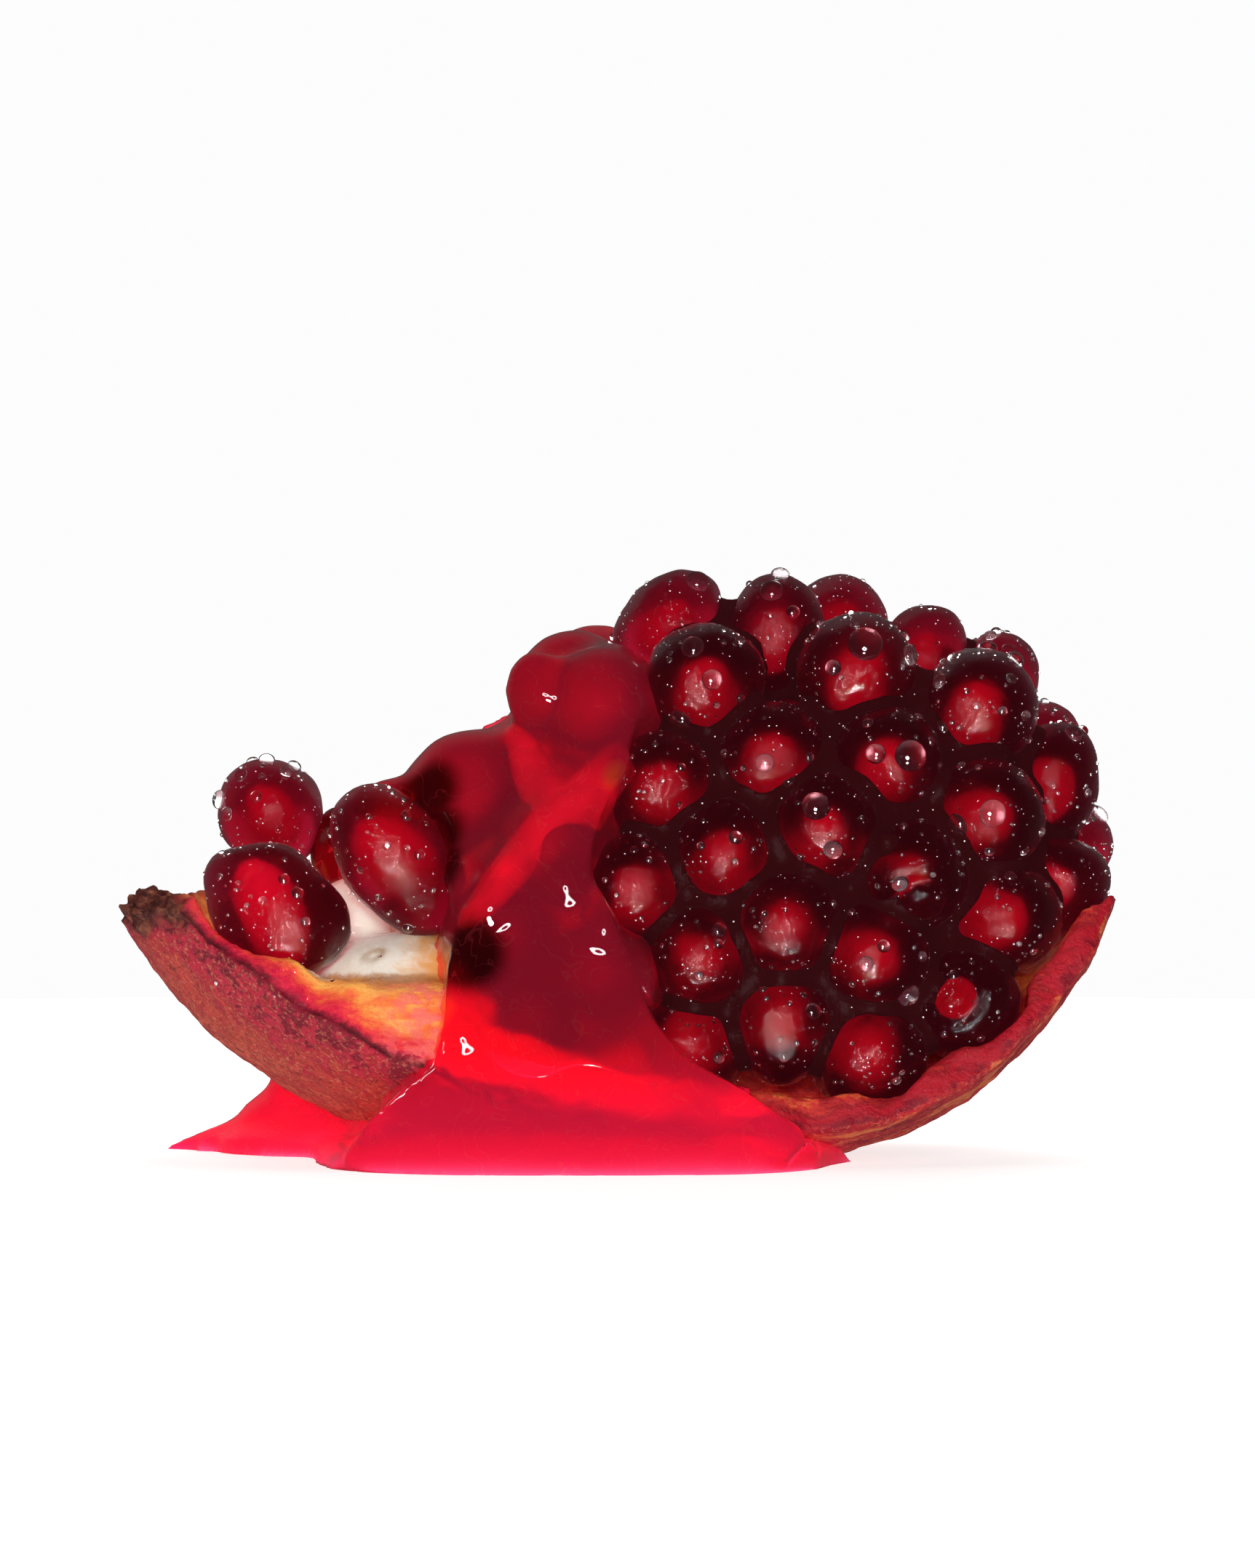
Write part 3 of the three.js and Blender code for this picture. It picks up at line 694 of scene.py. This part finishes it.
PITH_MOUNDS = [  # flesh and pith that swell up under the loose seeds: middle and reach
    ((-17.5, -11.5, 12.0), (8.0, 4.4, 3.3)),
    ((-18.0, -5.5, 14.8), (7.5, 5.5, 4.2)),
    ((-22.5, -0.5, 19.5), (3.6, 4.2, 4.0)),
]
PITH_SOCKETS = [  # where seeds sat on the bare pith: place across and back
    (-29.5, -6.0), (-27.5, -9.5), (-22.0, -11.5), (-20.5, -9.5), (-24.0, -11.0), (-18.0, -12.5),
    (-19.5, -13.0), (-31.0, 2.0), (-27.0, 6.5), (-23.0, 8.5), (-30.5, 8.0), (-25.5, 11.0),
    (-33.5, -2.0), (-21.0, 12.5), (-28.0, 3.0),
]


def rough_of(rows, size):
    """Soft noise of about size millimetres for each row."""
    return np.array([noise.noise(Vector(row) / (size * MM)) for row in rows])


def make_rind():
    """Skin, cut face and pith, with the leather's bumps, the groove under the skin and the torn dry tip."""
    piece = merged_copy("rind_with_pith", "rind_skin_pith")
    skin = skin_tree(piece)
    joined_with(piece, [blob(*mound) for mound in PITH_MOUNDS])
    apply_modifier(piece, "REMESH", mode="VOXEL", voxel_size=0.4 * MM)
    apply_modifier(piece, "SMOOTH", factor=0.5, iterations=10)
    rows, normals = places(piece), vertex_normals(piece)
    depth = np.array([skin.find_nearest(Vector(row))[3] for row in rows]) / MM
    to_rim = KDTree(len(rows))
    for k in np.nonzero((depth > 0.6) & (depth < 1.1))[0]:
        to_rim.insert(Vector(rows[k]), int(k))
    to_rim.balance()
    rim = np.array([to_rim.find(Vector(row))[2] for row in rows]) / MM
    near = soft_step(rows[:, 0] / MM, -27, -24) * soft_step(rows[:, 1] / MM, 4, 1)
    near *= soft_step(depth, 2.5, 4.0)
    depth += near * (np.maximum(3.0, 4.8 + 1.3 * (rows[:, 2] / MM - 15.2)) - depth)
    broad, middle, small = (rough_of(rows, size) for size in (4.5, 1.7, 0.8))
    on_skin = soft_step(depth, 0.5, 0.2)
    on_pith = soft_step(depth, 4.0, 5.0)
    on_cut = 1 - np.maximum(on_skin, on_pith)
    dry = soft_step(rows[:, 0] / MM + 1.6 * broad + 1.2 * middle, -34.5, -37.5)
    dry *= soft_step(rows[:, 2] / MM + 1.5 * middle, 18.3, 20.0)
    height = on_skin * (0.22 * broad + 0.13 * middle + 0.09 * small)
    height += on_cut * (0.2 * broad + 0.16 * middle + 0.07 * small)
    height += on_pith * (0.35 * broad + 0.1 * middle)
    old = soft_step(rows[:, 0] / MM, 5.0, -12.0)
    height -= 0.45 * soft_step(np.abs(depth - 0.55), 0.5, 0.0) * (0.7 + broad) * old
    height += dry * (0.7 * np.abs(middle) + 0.55 * small - 0.3)
    socket = np.zeros(len(rows))
    for place in PITH_SOCKETS:
        away = np.hypot(*(rows[:, :2] / MM - place).T * np.array([[1.0], [1.7]]))
        ring = soft_step(np.abs(away - 0.75), 0.6, 0.1) * on_pith
        socket = np.maximum(socket, ring * (0.5 + middle))
        height -= 0.18 * soft_step(away, 1.1, 0.2) * on_pith
    set_places(piece, rows + normals * height[:, None] * MM)
    paint(piece, "depth_mm", depth)
    paint(piece, "rim_mm", rim)
    paint(piece, "dry", dry)
    paint(piece, "socket", np.clip(socket, 0, 1))
    shade_smooth(piece)
    piece.data.materials.append(rind_material())
    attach(piece, "root")
    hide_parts("rind_with_pith")
    return piece


# ---------------------------------------------------------------- syrup
PITH_RIDGE = [  # the forked edge of a pith wall between the drowned seeds: points and radius
    [(1.2, -7.6, 33.6, 1.5), (-2.1, -8.0, 30.8, 1.9), (-5.0, -9.0, 28.0, 2.3), (-7.9, -11.0, 25.0, 1.7),
     (-10.6, -12.6, 22.3, 1.3), (-13.0, -13.6, 19.4, 0.7)],
    [(-9.0, 0.8, 36.0, 1.2), (-8.2, -2.2, 34.0, 1.6), (-6.9, -5.6, 31.2, 2.0), (-5.0, -8.8, 28.3, 2.2)],
]
SYRUP_BRIDGES = [  # films and streams between and over the seeds: middle and reach
    ((-23.9, 0.7, 25.6), (3.2, 3.6, 4.6)),
    ((-18.6, -4.5, 29.4), (4.6, 3.4, 3.2)),
    ((-7.2, -5.5, 39.0), (3.4, 3.2, 4.2)),
    ((-4.5, -9.0, 16.0), (3.5, 3.0, 7.0)),
    ((-2.5, -7.5, 27.0), (3.0, 2.5, 7.0)),
    ((12.4, -17.6, 2.6), (3.2, 2.8, 2.6)),
]
POOL_TAIL = [  # the tail that the pool draws out at the left, and radius
    (-39.6, 8.0, -0.1, 0.3), (-38.0, 8.0, 0.0, 0.7), (-36.4, 7.7, 0.0, 1.25), (-34.6, 7.2, 0.0, 1.9),
    (-32.9, 6.6, 0.0, 2.6), (-31.1, 6.0, 0.3, 3.3), (-29.4, 5.4, 1.2, 3.8), (-27.0, 5.0, 2.4, 4.2),
]
POOL_END = [  # and the end that thins out under the rind at the right
    (7.0, -18.5, 1.0, 2.6), (10.0, -16.8, 0.8, 2.4), (13.0, -14.0, 0.6, 2.1), (15.6, -11.0, 0.4, 1.7),
    (17.2, -8.7, 0.3, 1.1), (18.3, -7.4, 0.2, 0.7), (19.1, -6.4, 0.1, 0.3),
]
SYRUP_BULGES = [  # low round swellings in the front: place across and up, reach and height
    (-10.4, 21.2, 2.8, 0.75), (-5.0, 23.4, 2.8, 0.75), (-1.2, 19.8, 2.6, 0.7), (-13.2, 11.2, 2.4, 0.6),
    (-10.3, 24.8, 2.8, 0.95), (-6.6, 38.7, 2.2, 0.6),
]
SYRUP_FILM_SHADE = [  # where the syrup is painted darkest, as painted shade and for its dark films: middle and reach
    ((-24.0, 1.0, 25.0), 8.0), ((-16.4, -8.0, 31.0), 3.8), ((-16.0, -9.0, 27.5), 3.8),
    ((-15.5, -10.0, 24.5), 3.4), ((-12.6, -16.0, 17.4), 4.2),
]
SYRUP_PAINTED_GLOW = [  # and where an amber glow is painted into it, over the pith: middle and reach
    ((-15.4, -12.0, 16.0), 3.4), ((-15.2, -16.0, 12.5), 2.6), ((-0.4, -13.0, 32.2), 2.0),
]
UNDER_FLOOR = -0.06  # where the pool's underside ends, just below the floor
SYRUP_OVER_SEEDS = 1.1 * MM
RIDGE_UNDER = 1.4  # the syrup over the ridge
SYRUP_CLOSING = 1.0 * MM  # grown and drawn back by this, so that narrow gaps fill up


def strand(points, name):
    """A closed tube along points of place and radius in millimetres."""
    curve = bpy.data.curves.new(name, "CURVE")
    curve.dimensions = "3D"
    curve.bevel_depth = MM
    curve.bevel_resolution = 3
    curve.use_fill_caps = True
    spline = curve.splines.new("NURBS")
    spline.points.add(len(points) - 1)
    for point, (x, y, z, radius) in zip(spline.points, points):
        point.co = (x * MM, y * MM, z * MM, 1)
        point.radius = radius
    spline.use_endpoint_u = True
    spline.order_u = 3
    tube = bpy.data.objects.new(name, curve)
    bpy.context.scene.collection.objects.link(tube)
    only(tube)
    bpy.ops.object.convert(target="MESH")
    return bpy.context.object


def make_pith_ridge(syrup):
    """The ridge follows the syrup's front a little way in."""
    tree = tree_of([syrup])
    tubes = []
    for points in PITH_RIDGE:
        seen = []
        for x, y, z, radius in points:
            front = tree.ray_cast(Vector((x, -50, z)) * MM, Vector((0, 1, 0)))[0]
            seen.append((x, front.y / MM + radius + RIDGE_UNDER if front else y, z, radius))
        tubes.append(strand(seen, "pith_ridge"))
    piece = joined_with(tubes[0], tubes[1:])
    piece.name = piece.data.name = "pith_ridge"
    apply_modifier(piece, "REMESH", mode="VOXEL", voxel_size=0.4 * MM)
    apply_modifier(piece, "SMOOTH", factor=0.5, iterations=5)
    shade_smooth(piece)
    piece.data.materials.clear()
    piece.data.materials.append(ridge_material())
    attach(piece, "root")


def sink_into(piece, tree, reach, depth):
    """Moves vertices that face a near surface to just inside it, so that no air is left between."""
    rows, normals = places(piece), vertex_normals(piece)
    move = np.zeros(len(rows))
    for k, (row, normal) in enumerate(zip(map(Vector, rows), normals)):
        far = tree.ray_cast(row, Vector(normal), reach)[3]
        if far is not None:
            move[k] = (far + depth) * np.clip((11.5 * MM - row.x) / (6 * MM), 0, 1)
    set_places(piece, rows + normals * spread_out(piece, move, 3)[:, None])


def fall_front(rows):
    """How far forward the fall's surface stands at each row, millimetres: it leans out to its toe."""
    lean = -18.0 - 0.26 * (12.5 - rows[:, 2])
    toe = -2.8 * np.exp(-rows[:, 2] / 1.8)
    return lean + toe + 1.6 * ((rows[:, 0] + 4) / 18) ** 2


def lean_fall(piece):
    """Brings the fall's front to where it leans out, and thins the pool's edge down to the floor."""
    rows = places(piece) / MM
    rows += vertex_normals(piece) * np.clip(rows[:, 2] / 1.5, 0, 1)[:, None] * 0.25
    slope = fall_front(rows)
    facing = soft_step(vertex_normals(piece)[:, 1], 0.0, -0.4)
    middle = np.clip(1.2 - ((rows[:, 0] + 4) / 21) ** 2, 0, 1) * facing
    short = np.clip(rows[:, 1] - slope, 0, 9) * soft_step(rows[:, 1], -11.0, -14.0)
    rows[:, 1] -= short * middle * soft_step(rows[:, 2], 19.0, 13.0)
    ahead = np.clip(slope - rows[:, 1], 0, 9) * facing * soft_step(rows[:, 2], 0.0, 0.8)
    rows[:, 1] += ahead * soft_step(rows[:, 2], 19.0, 13.0)
    foot = soft_step(rows[:, 0], -20.0, -26.0) * soft_step(rows[:, 2], 3.0, 1.6)
    for k in range(2):
        rows[:, k] += foot * (spread_out(piece, rows[:, k], 12) - rows[:, k])
    thinned = 0.4 * soft_step(rows[:, 2], 1.6, 0.4) * soft_step(rows[:, 0], -35.0, -28.0)
    spill = soft_step(rows[:, 0], 2.0, 5.0) * soft_step(rows[:, 1], -22.4, -23.6)
    spill += soft_step(rows[:, 0], -20.0, -25.0) * soft_step(np.abs(rows[:, 1] + 1.0), 7.5, 5.5)
    thinned += 0.9 * spill * soft_step(rows[:, 2], 1.2, 0.7)
    rows[:, 2] = np.maximum(rows[:, 2] - thinned, UNDER_FLOOR)
    set_places(piece, rows * MM)


def swell_front(piece):
    """Raises the low round swellings in the syrup's front."""
    rows = places(piece) / MM
    bulge = np.zeros(len(rows))
    for x, z, reach, height in SYRUP_BULGES:
        bulge += height * soft_step(np.hypot(rows[:, 0] - x, rows[:, 2] - z), reach, 0.0)
    facing = soft_step(vertex_normals(piece)[:, 1], -0.2, -0.6)
    rows[:, 1] -= bulge * facing * soft_step(rows[:, 1], -2.0, -6.0)
    set_places(piece, rows * MM)


def make_syrup(arils, rind):
    """The poured coat, grown smoothly over the seeds under it, with its fall leaning out to the pool."""
    coated = [arils[n] for n in COATED_NODES]
    seeds = joined_copy(coated, "poured_seeds", SYRUP_OVER_SEEDS + SYRUP_CLOSING)
    blank = merged_copy("juice_syrup", "poured_blank")
    piece = joined_copy([blank], "poured_syrup", SYRUP_CLOSING)
    bpy.data.objects.remove(blank)
    cover = [strand([(x, y - 1.8, z, radius + 0.9) for x, y, z, radius in points], "ridge_cover")
             for points in PITH_RIDGE]
    joined_with(piece, [seeds, *[blob(*each) for each in SYRUP_BRIDGES], *cover])
    apply_modifier(piece, "REMESH", mode="VOXEL", voxel_size=0.42 * MM)
    apply_modifier(piece, "SMOOTH", factor=0.6, iterations=12)
    set_places(piece, places(piece) - vertex_normals(piece) * SYRUP_CLOSING)
    joined_with(piece, [strand(POOL_TAIL, "pool_tail"), strand(POOL_END, "pool_end")])
    apply_modifier(piece, "REMESH", mode="VOXEL", voxel_size=0.38 * MM)
    apply_modifier(piece, "SMOOTH", factor=0.6, iterations=14)
    drop_crumbs(piece, 3000)
    lean_fall(piece)
    swell_front(piece)
    rows = places(piece) / MM
    ripple(piece, 9.0, 0.2, 3)
    calm = soft_step(rows[:, 2], 1.2, 0.3)[:, None]
    set_places(piece, places(piece) * (1 - calm) + rows * MM * calm)
    for name, patches in (("film_shade", SYRUP_FILM_SHADE), ("amber_painted_glow", SYRUP_PAINTED_GLOW)):
        near = [soft_step(np.linalg.norm(rows - middle, axis=1), reach, 0.5 * reach)
                for middle, reach in patches]
        paint(piece, name, np.max(near, axis=0))
    sink_into(piece, tree_of([rind]), 1.3 * MM, 0.25 * MM)
    shade_smooth(piece)
    piece.data.materials.clear()
    piece.data.materials.append(syrup_material())
    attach(piece, "root")
    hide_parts("juice_syrup")
    return piece


# ---------------------------------------------------------------- drops of water
BIG_DROPS = [  # place near a seed's surface, and radius
    (6.4, -0.7, 48.4, 1.05), (20.0, -8.4, 42.8, 1.5), (7.4, -10.1, 39.8, 0.9), (4.8, -8.2, 36.5, 1.0),
    (23.5, -11.9, 33.5, 1.35), (20.6, -12.1, 33.7, 0.85), (15.7, -14.3, 29.5, 1.2), (30.2, -12.3, 28.8, 1.2),
    (27.3, -11.1, 27.8, 1.0), (11.6, -12.3, 32.9, 0.8), (5.7, -9.1, 42.6, 1.0), (17.3, -8.4, 40.8, 0.7),
    (17.1, -14.5, 25.8, 0.8), (22.7, -14.6, 22.8, 0.75), (26.4, -6.7, 35.9, 0.8), (9.2, -14.4, 26.9, 0.6),
    (13.6, -10.9, 31.4, 0.7), (-28.1, -2.5, 32.3, 0.6), (-32.0, -2.3, 32.0, 0.6), (-30.6, -4.2, 30.2, 0.55),
    (-29.8, -1.0, 33.6, 0.7), (-31.2, 0.5, 33.4, 0.55), (-27.4, 0.5, 33.2, 0.6), (-27.8, -11.4, 23.0, 0.5),
    (-26.8, -11.9, 22.0, 0.55), (-29.3, -12.6, 21.6, 0.4), (-17.7, -10.2, 28.7, 0.5),
    (-16.8, -10.6, 25.4, 0.5),
    (12.4, -2.0, 47.5, 1.0), (13.2, 0.5, 48.6, 0.8), (24.0, -5.9, 41.9, 0.9), (30.5, -3.0, 43.0, 0.9),
    (37.8, -2.1, 35.6, 0.8), (38.0, 3.5, 37.6, 0.9), (19.7, -15.8, 16.6, 0.65), (21.2, -15.7, 18.1, 0.55),
    (7.9, -14.6, 8.9, 0.55), (15.6, -15.1, 12.8, 0.7), (26.1, -6.5, 39.8, 0.7), (33.5, 2.0, 43.6, 0.7),
]


def water_material():
    """A clear drop of water."""
    made = Shader("water_drop")
    made.set(Base_Color=(1, 1, 1, 1), Roughness=0.0, IOR=1.33, Transmission_Weight=1.0,
             Coat_Weight=1.0, Coat_Roughness=0.0, Coat_IOR=1.8)
    made.let_lamps_through((1, 1, 1))
    return made.material


def mist_glint_material():
    """Specks of water, white as painted glints: too small to look through."""
    made = Shader("water_mist_painted_glint")
    made.set(Base_Color=(0.95, 0.85, 0.85, 1), Roughness=0.2)
    return made.material


def dome(sides, rings):
    """A drop's shape of radius 1 on z = 0: its points, its faces, and which points stand on the surface."""
    bpy.ops.object.select_all(action="DESELECT")
    bpy.ops.mesh.primitive_uv_sphere_add(segments=sides, ring_count=rings, radius=1)
    shape = bpy.context.object
    only(shape)
    bpy.ops.object.mode_set(mode="EDIT")
    bpy.ops.mesh.select_all(action="SELECT")
    bpy.ops.mesh.bisect(plane_co=(0, 0, 0.02), plane_no=(0, 0, 1), use_fill=True, clear_inner=True)
    bpy.ops.object.mode_set(mode="OBJECT")
    points = places(shape)
    faces = [list(face.vertices) for face in shape.data.polygons]
    bpy.data.objects.remove(shape)
    return points, faces, points[:, 2] < 0.05


DROP_CLEARANCE = 0.012 * MM


def scatter(name, spots, shape, tree, material):
    """One piece with a drop at each spot of place, outward direction, radius and height."""
    points, faces, standing = shape
    rows, drops = [], []
    for place, outwards, radius, height in spots:
        turn = np.array(Vector((0, 0, 1)).rotation_difference(outwards).to_matrix())
        placed = (points * (radius, radius, radius * height)) @ turn.T + np.array(place)
        for k in np.nonzero(standing)[0]:
            spot, normal = tree.find_nearest(Vector(placed[k]))[:2]
            placed[k] = spot + normal * DROP_CLEARANCE
        drops += [[len(rows) * len(points) + k for k in face] for face in faces]
        rows.append(placed)
    mesh = bpy.data.meshes.new(name)
    mesh.from_pydata(np.concatenate(rows), [], drops)
    piece = bpy.data.objects.new(name, mesh)
    bpy.context.scene.collection.objects.link(piece)
    only(piece)
    bpy.ops.object.shade_smooth_by_angle(angle=math.radians(50))
    mesh.materials.append(material)
    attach(piece, "root")
    return piece


class Surfaces:
    """The outer surfaces that drops can stand on, and what stands in their way."""

    def __init__(self, pieces, blockers, seed):
        self.tree = tree_of(pieces)
        self.blockers = tree_of(pieces + blockers)
        self.draw = np.random.default_rng(seed)
        self.centres = np.concatenate([self.of_faces(piece, "center") for piece in pieces])
        self.normals = np.concatenate([self.of_faces(piece, "normal") for piece in pieces])
        areas = np.concatenate([self.of_faces(piece, "area", 1).ravel() for piece in pieces])
        self.share = areas / areas.sum()
        self.taken = np.zeros((0, 4))

    @staticmethod
    def of_faces(piece, key, width=3):
        found = np.zeros(len(piece.data.polygons) * width)
        piece.data.polygons.foreach_get(key, found)
        return found.reshape(-1, width)

    def free(self, place, outwards, room):
        return self.blockers.ray_cast(place + outwards * 0.03 * MM, outwards, room)[0] is None

    def take(self, place, radius):
        """True, and the place is taken, if no other drop is there."""
        if len(self.taken):
            away = np.linalg.norm(self.taken[:, :3] - place, axis=1)
            if np.any(away < (self.taken[:, 3] + radius) * 1.05):
                return False
        self.taken = np.vstack([self.taken, (*place, radius)])
        return True

    def near(self, rows):
        """Drops at the surface points nearest to given places."""
        spots = []
        for x, y, z, radius in rows:
            place, outwards = self.tree.find_nearest(Vector((x, y, z)) * MM)[:2]
            self.take(place, radius * MM)
            spots.append((place, outwards, radius * MM, 0.75))
        return spots

    def random(self, count, low, high, room=4.0, wanted=None):
        """Drops at random places, small ones more often than large ones."""
        spots = []
        for k in self.draw.choice(len(self.share), size=count * 6, p=self.share):
            radius = (low + (high - low) * self.draw.random() ** 2.5) * MM
            tall = 0.6 + 0.3 * self.draw.random()
            place, outwards = Vector(self.centres[k]), Vector(self.normals[k])
            if wanted is not None and not wanted(place):
                continue
            if self.free(place, outwards, room * MM) and self.take(place, radius):
                spots.append((place, outwards, radius, tall))
            if len(spots) == count:
                break
        return spots


def make_drops(arils, rind, syrup, grooves):
    """Drops and specks of water on the seeds, in the grooves between them and on the bare pith; the specks
    are white as painted glints.
    """
    water, mist_glint = water_material(), mist_glint_material()
    large, middle, little, small = dome(24, 16), dome(12, 8), dome(8, 6), dome(6, 4)
    seeds = Surfaces([arils[n] for n in OPEN_NODES], [rind, syrup, grooves], 5)
    big = seeds.near(BIG_DROPS) + seeds.random(40, 0.5, 1.0)
    scatter("drops_large", big, large, seeds.tree, water)
    scatter("drops_middle", seeds.random(620, 0.22, 0.5), middle, seeds.tree, water)
    scatter("drops_small", seeds.random(2400, 0.1, 0.22, 1.5), little, seeds.tree, water)
    scatter("drops_mist", seeds.random(3200, 0.04, 0.075, 0.8), small, seeds.tree, mist_glint)
    deep = Surfaces([grooves], [arils[n] for n in OPEN_NODES] + [rind, syrup], 6)
    scatter("drops_in_grooves", deep.random(1500, 0.04, 0.09, 0.5), small, deep.tree, mist_glint)
    pith = Surfaces([rind], [arils[n] for n in ARIL_NODES] + [syrup], 8)
    high = pith.random(60, 0.15, 0.42, 2.0,
                       lambda place: place.z > 13 * MM and -34 * MM < place.x < -12 * MM)
    scatter("drops_on_pith", high, middle, pith.tree, water)


# ---------------------------------------------------------------- stage, lights and camera
def make_stage():
    """A plain pale floor."""
    bpy.ops.object.select_all(action="DESELECT")
    bpy.ops.mesh.primitive_circle_add(vertices=96, radius=0.34, fill_type="NGON", location=(0, 0, 0))
    floor = bpy.context.object
    floor.name = "floor"
    made = Shader("pale_floor")
    made.set(Base_Color=(0.4, 0.4, 0.4, 1), Roughness=0.5, Emission_Color=(1, 0.99, 0.98, 1),
             Emission_Strength=0.75)
    floor.data.materials.append(made.material)
    floor.visible_glossy = False


def make_world():
    """White to look at, bright behind the wedge, and dim in front of it so that the seeds look deep."""
    world = bpy.data.worlds.new("studio")
    bpy.context.scene.world = world
    world.use_nodes = True
    tree = world.node_tree
    back = tree.nodes["Background"]
    back.inputs["Strength"].default_value = 1.0
    way = tree.nodes.new("ShaderNodeTexCoord")
    split = tree.nodes.new("ShaderNodeSeparateXYZ")
    tree.links.new(way.outputs["Generated"], split.inputs[0])
    ramp = tree.nodes.new("ShaderNodeMapRange")
    tree.links.new(split.outputs["Y"], ramp.inputs["Value"])
    for key, number in (("From Min", 0.0), ("From Max", 0.7), ("To Min", 0.012), ("To Max", 0.045)):
        ramp.inputs[key].default_value = number
    seen = tree.nodes.new("ShaderNodeLightPath")
    mix = tree.nodes.new("ShaderNodeMix")
    tree.links.new(seen.outputs["Is Camera Ray"], mix.inputs[0])
    tree.links.new(ramp.outputs[0], mix.inputs[2])
    mix.inputs[3].default_value = 0.98
    tree.links.new(mix.outputs[0], back.inputs["Color"])


def soft_light(name, place, aim, size, power):
    """A round soft box that no surface mirrors."""
    light = bpy.data.lights.new(name, "AREA")
    light.shape = "DISK"
    light.size = size
    light.energy = power
    lamp = bpy.data.objects.new(name, light)
    bpy.context.scene.collection.objects.link(lamp)
    lamp.location = place
    lamp.rotation_euler = (Vector(aim) - Vector(place)).to_track_quat("-Z", "Y").to_euler()
    lamp.visible_camera = False
    lamp.visible_glossy = False
    return lamp


def low_card(place, radius, strength):
    """A small white card in front of the wedge and below it, for the glint low on each seed."""
    bpy.ops.object.select_all(action="DESELECT")
    turn = (Vector(MIDDLE) - Vector(place)).to_track_quat("Z", "Y").to_euler()
    bpy.ops.mesh.primitive_circle_add(vertices=32, radius=radius, fill_type="NGON", location=place,
                                      rotation=turn)
    glint_only(bpy.context.object, "low_card", strength)


def glint_only(lamp, name, strength):
    """Makes an object a lamp that is only seen in reflections."""
    lamp.name = name
    made = Shader(name)
    made.set(Base_Color=(0, 0, 0, 1), Emission_Color=(1, 1, 1, 1), Emission_Strength=strength)
    lamp.data.materials.append(made.material)
    lamp.visible_camera = False
    lamp.visible_diffuse = False
    lamp.visible_transmission = False


def ring_light(place, radius, thickness, strength):
    """A ring for the small round glints."""
    bpy.ops.object.select_all(action="DESELECT")
    turn = (Vector(MIDDLE) - Vector(place)).to_track_quat("-Z", "Y").to_euler()
    bpy.ops.mesh.primitive_torus_add(location=place, rotation=turn, major_radius=radius,
                                     minor_radius=thickness, major_segments=40, minor_segments=6)
    glint_only(bpy.context.object, "ring_light", strength)


def make_lights():
    """Soft boxes for the light, and two small lamps for the glints."""
    ring_light((-0.01, -0.42, 0.0), 0.055, 0.02, 24)
    low_card((-0.02, -0.33, -0.2), 0.03, 330)
    soft_light("front_box", (-0.03, -0.45, 0.1), MIDDLE, 0.2, 2.0)
    top = soft_light("top_box", (0.05, 0.1, 0.5), MIDDLE, 0.4, 1.6)
    soft_light("back_glow", (-0.02, 0.35, 0.12), MIDDLE, 0.5, 2.5)
    top.visible_transmission = False


def make_camera():
    """Level, a long way in front, and aimed along the y axis."""
    camera = bpy.data.objects.new("camera", bpy.data.cameras.new("camera"))
    bpy.context.scene.collection.objects.link(camera)
    camera.location = EYE
    camera.rotation_euler = (math.pi / 2, 0, 0)
    camera.data.lens = LENS
    camera.data.sensor_width = 36
    camera.data.clip_start = 0.01
    bpy.context.scene.camera = camera
    bpy.context.scene.view_settings.view_transform = "Standard"


make_camera()
make_stage()
make_world()
make_lights()
arils = make_arils()
grooves = make_groove_juice_and_shade(arils)
rind = make_rind()
syrup = make_syrup(arils, rind)
make_pith_ridge(syrup)
make_drops(arils, rind, syrup, grooves)
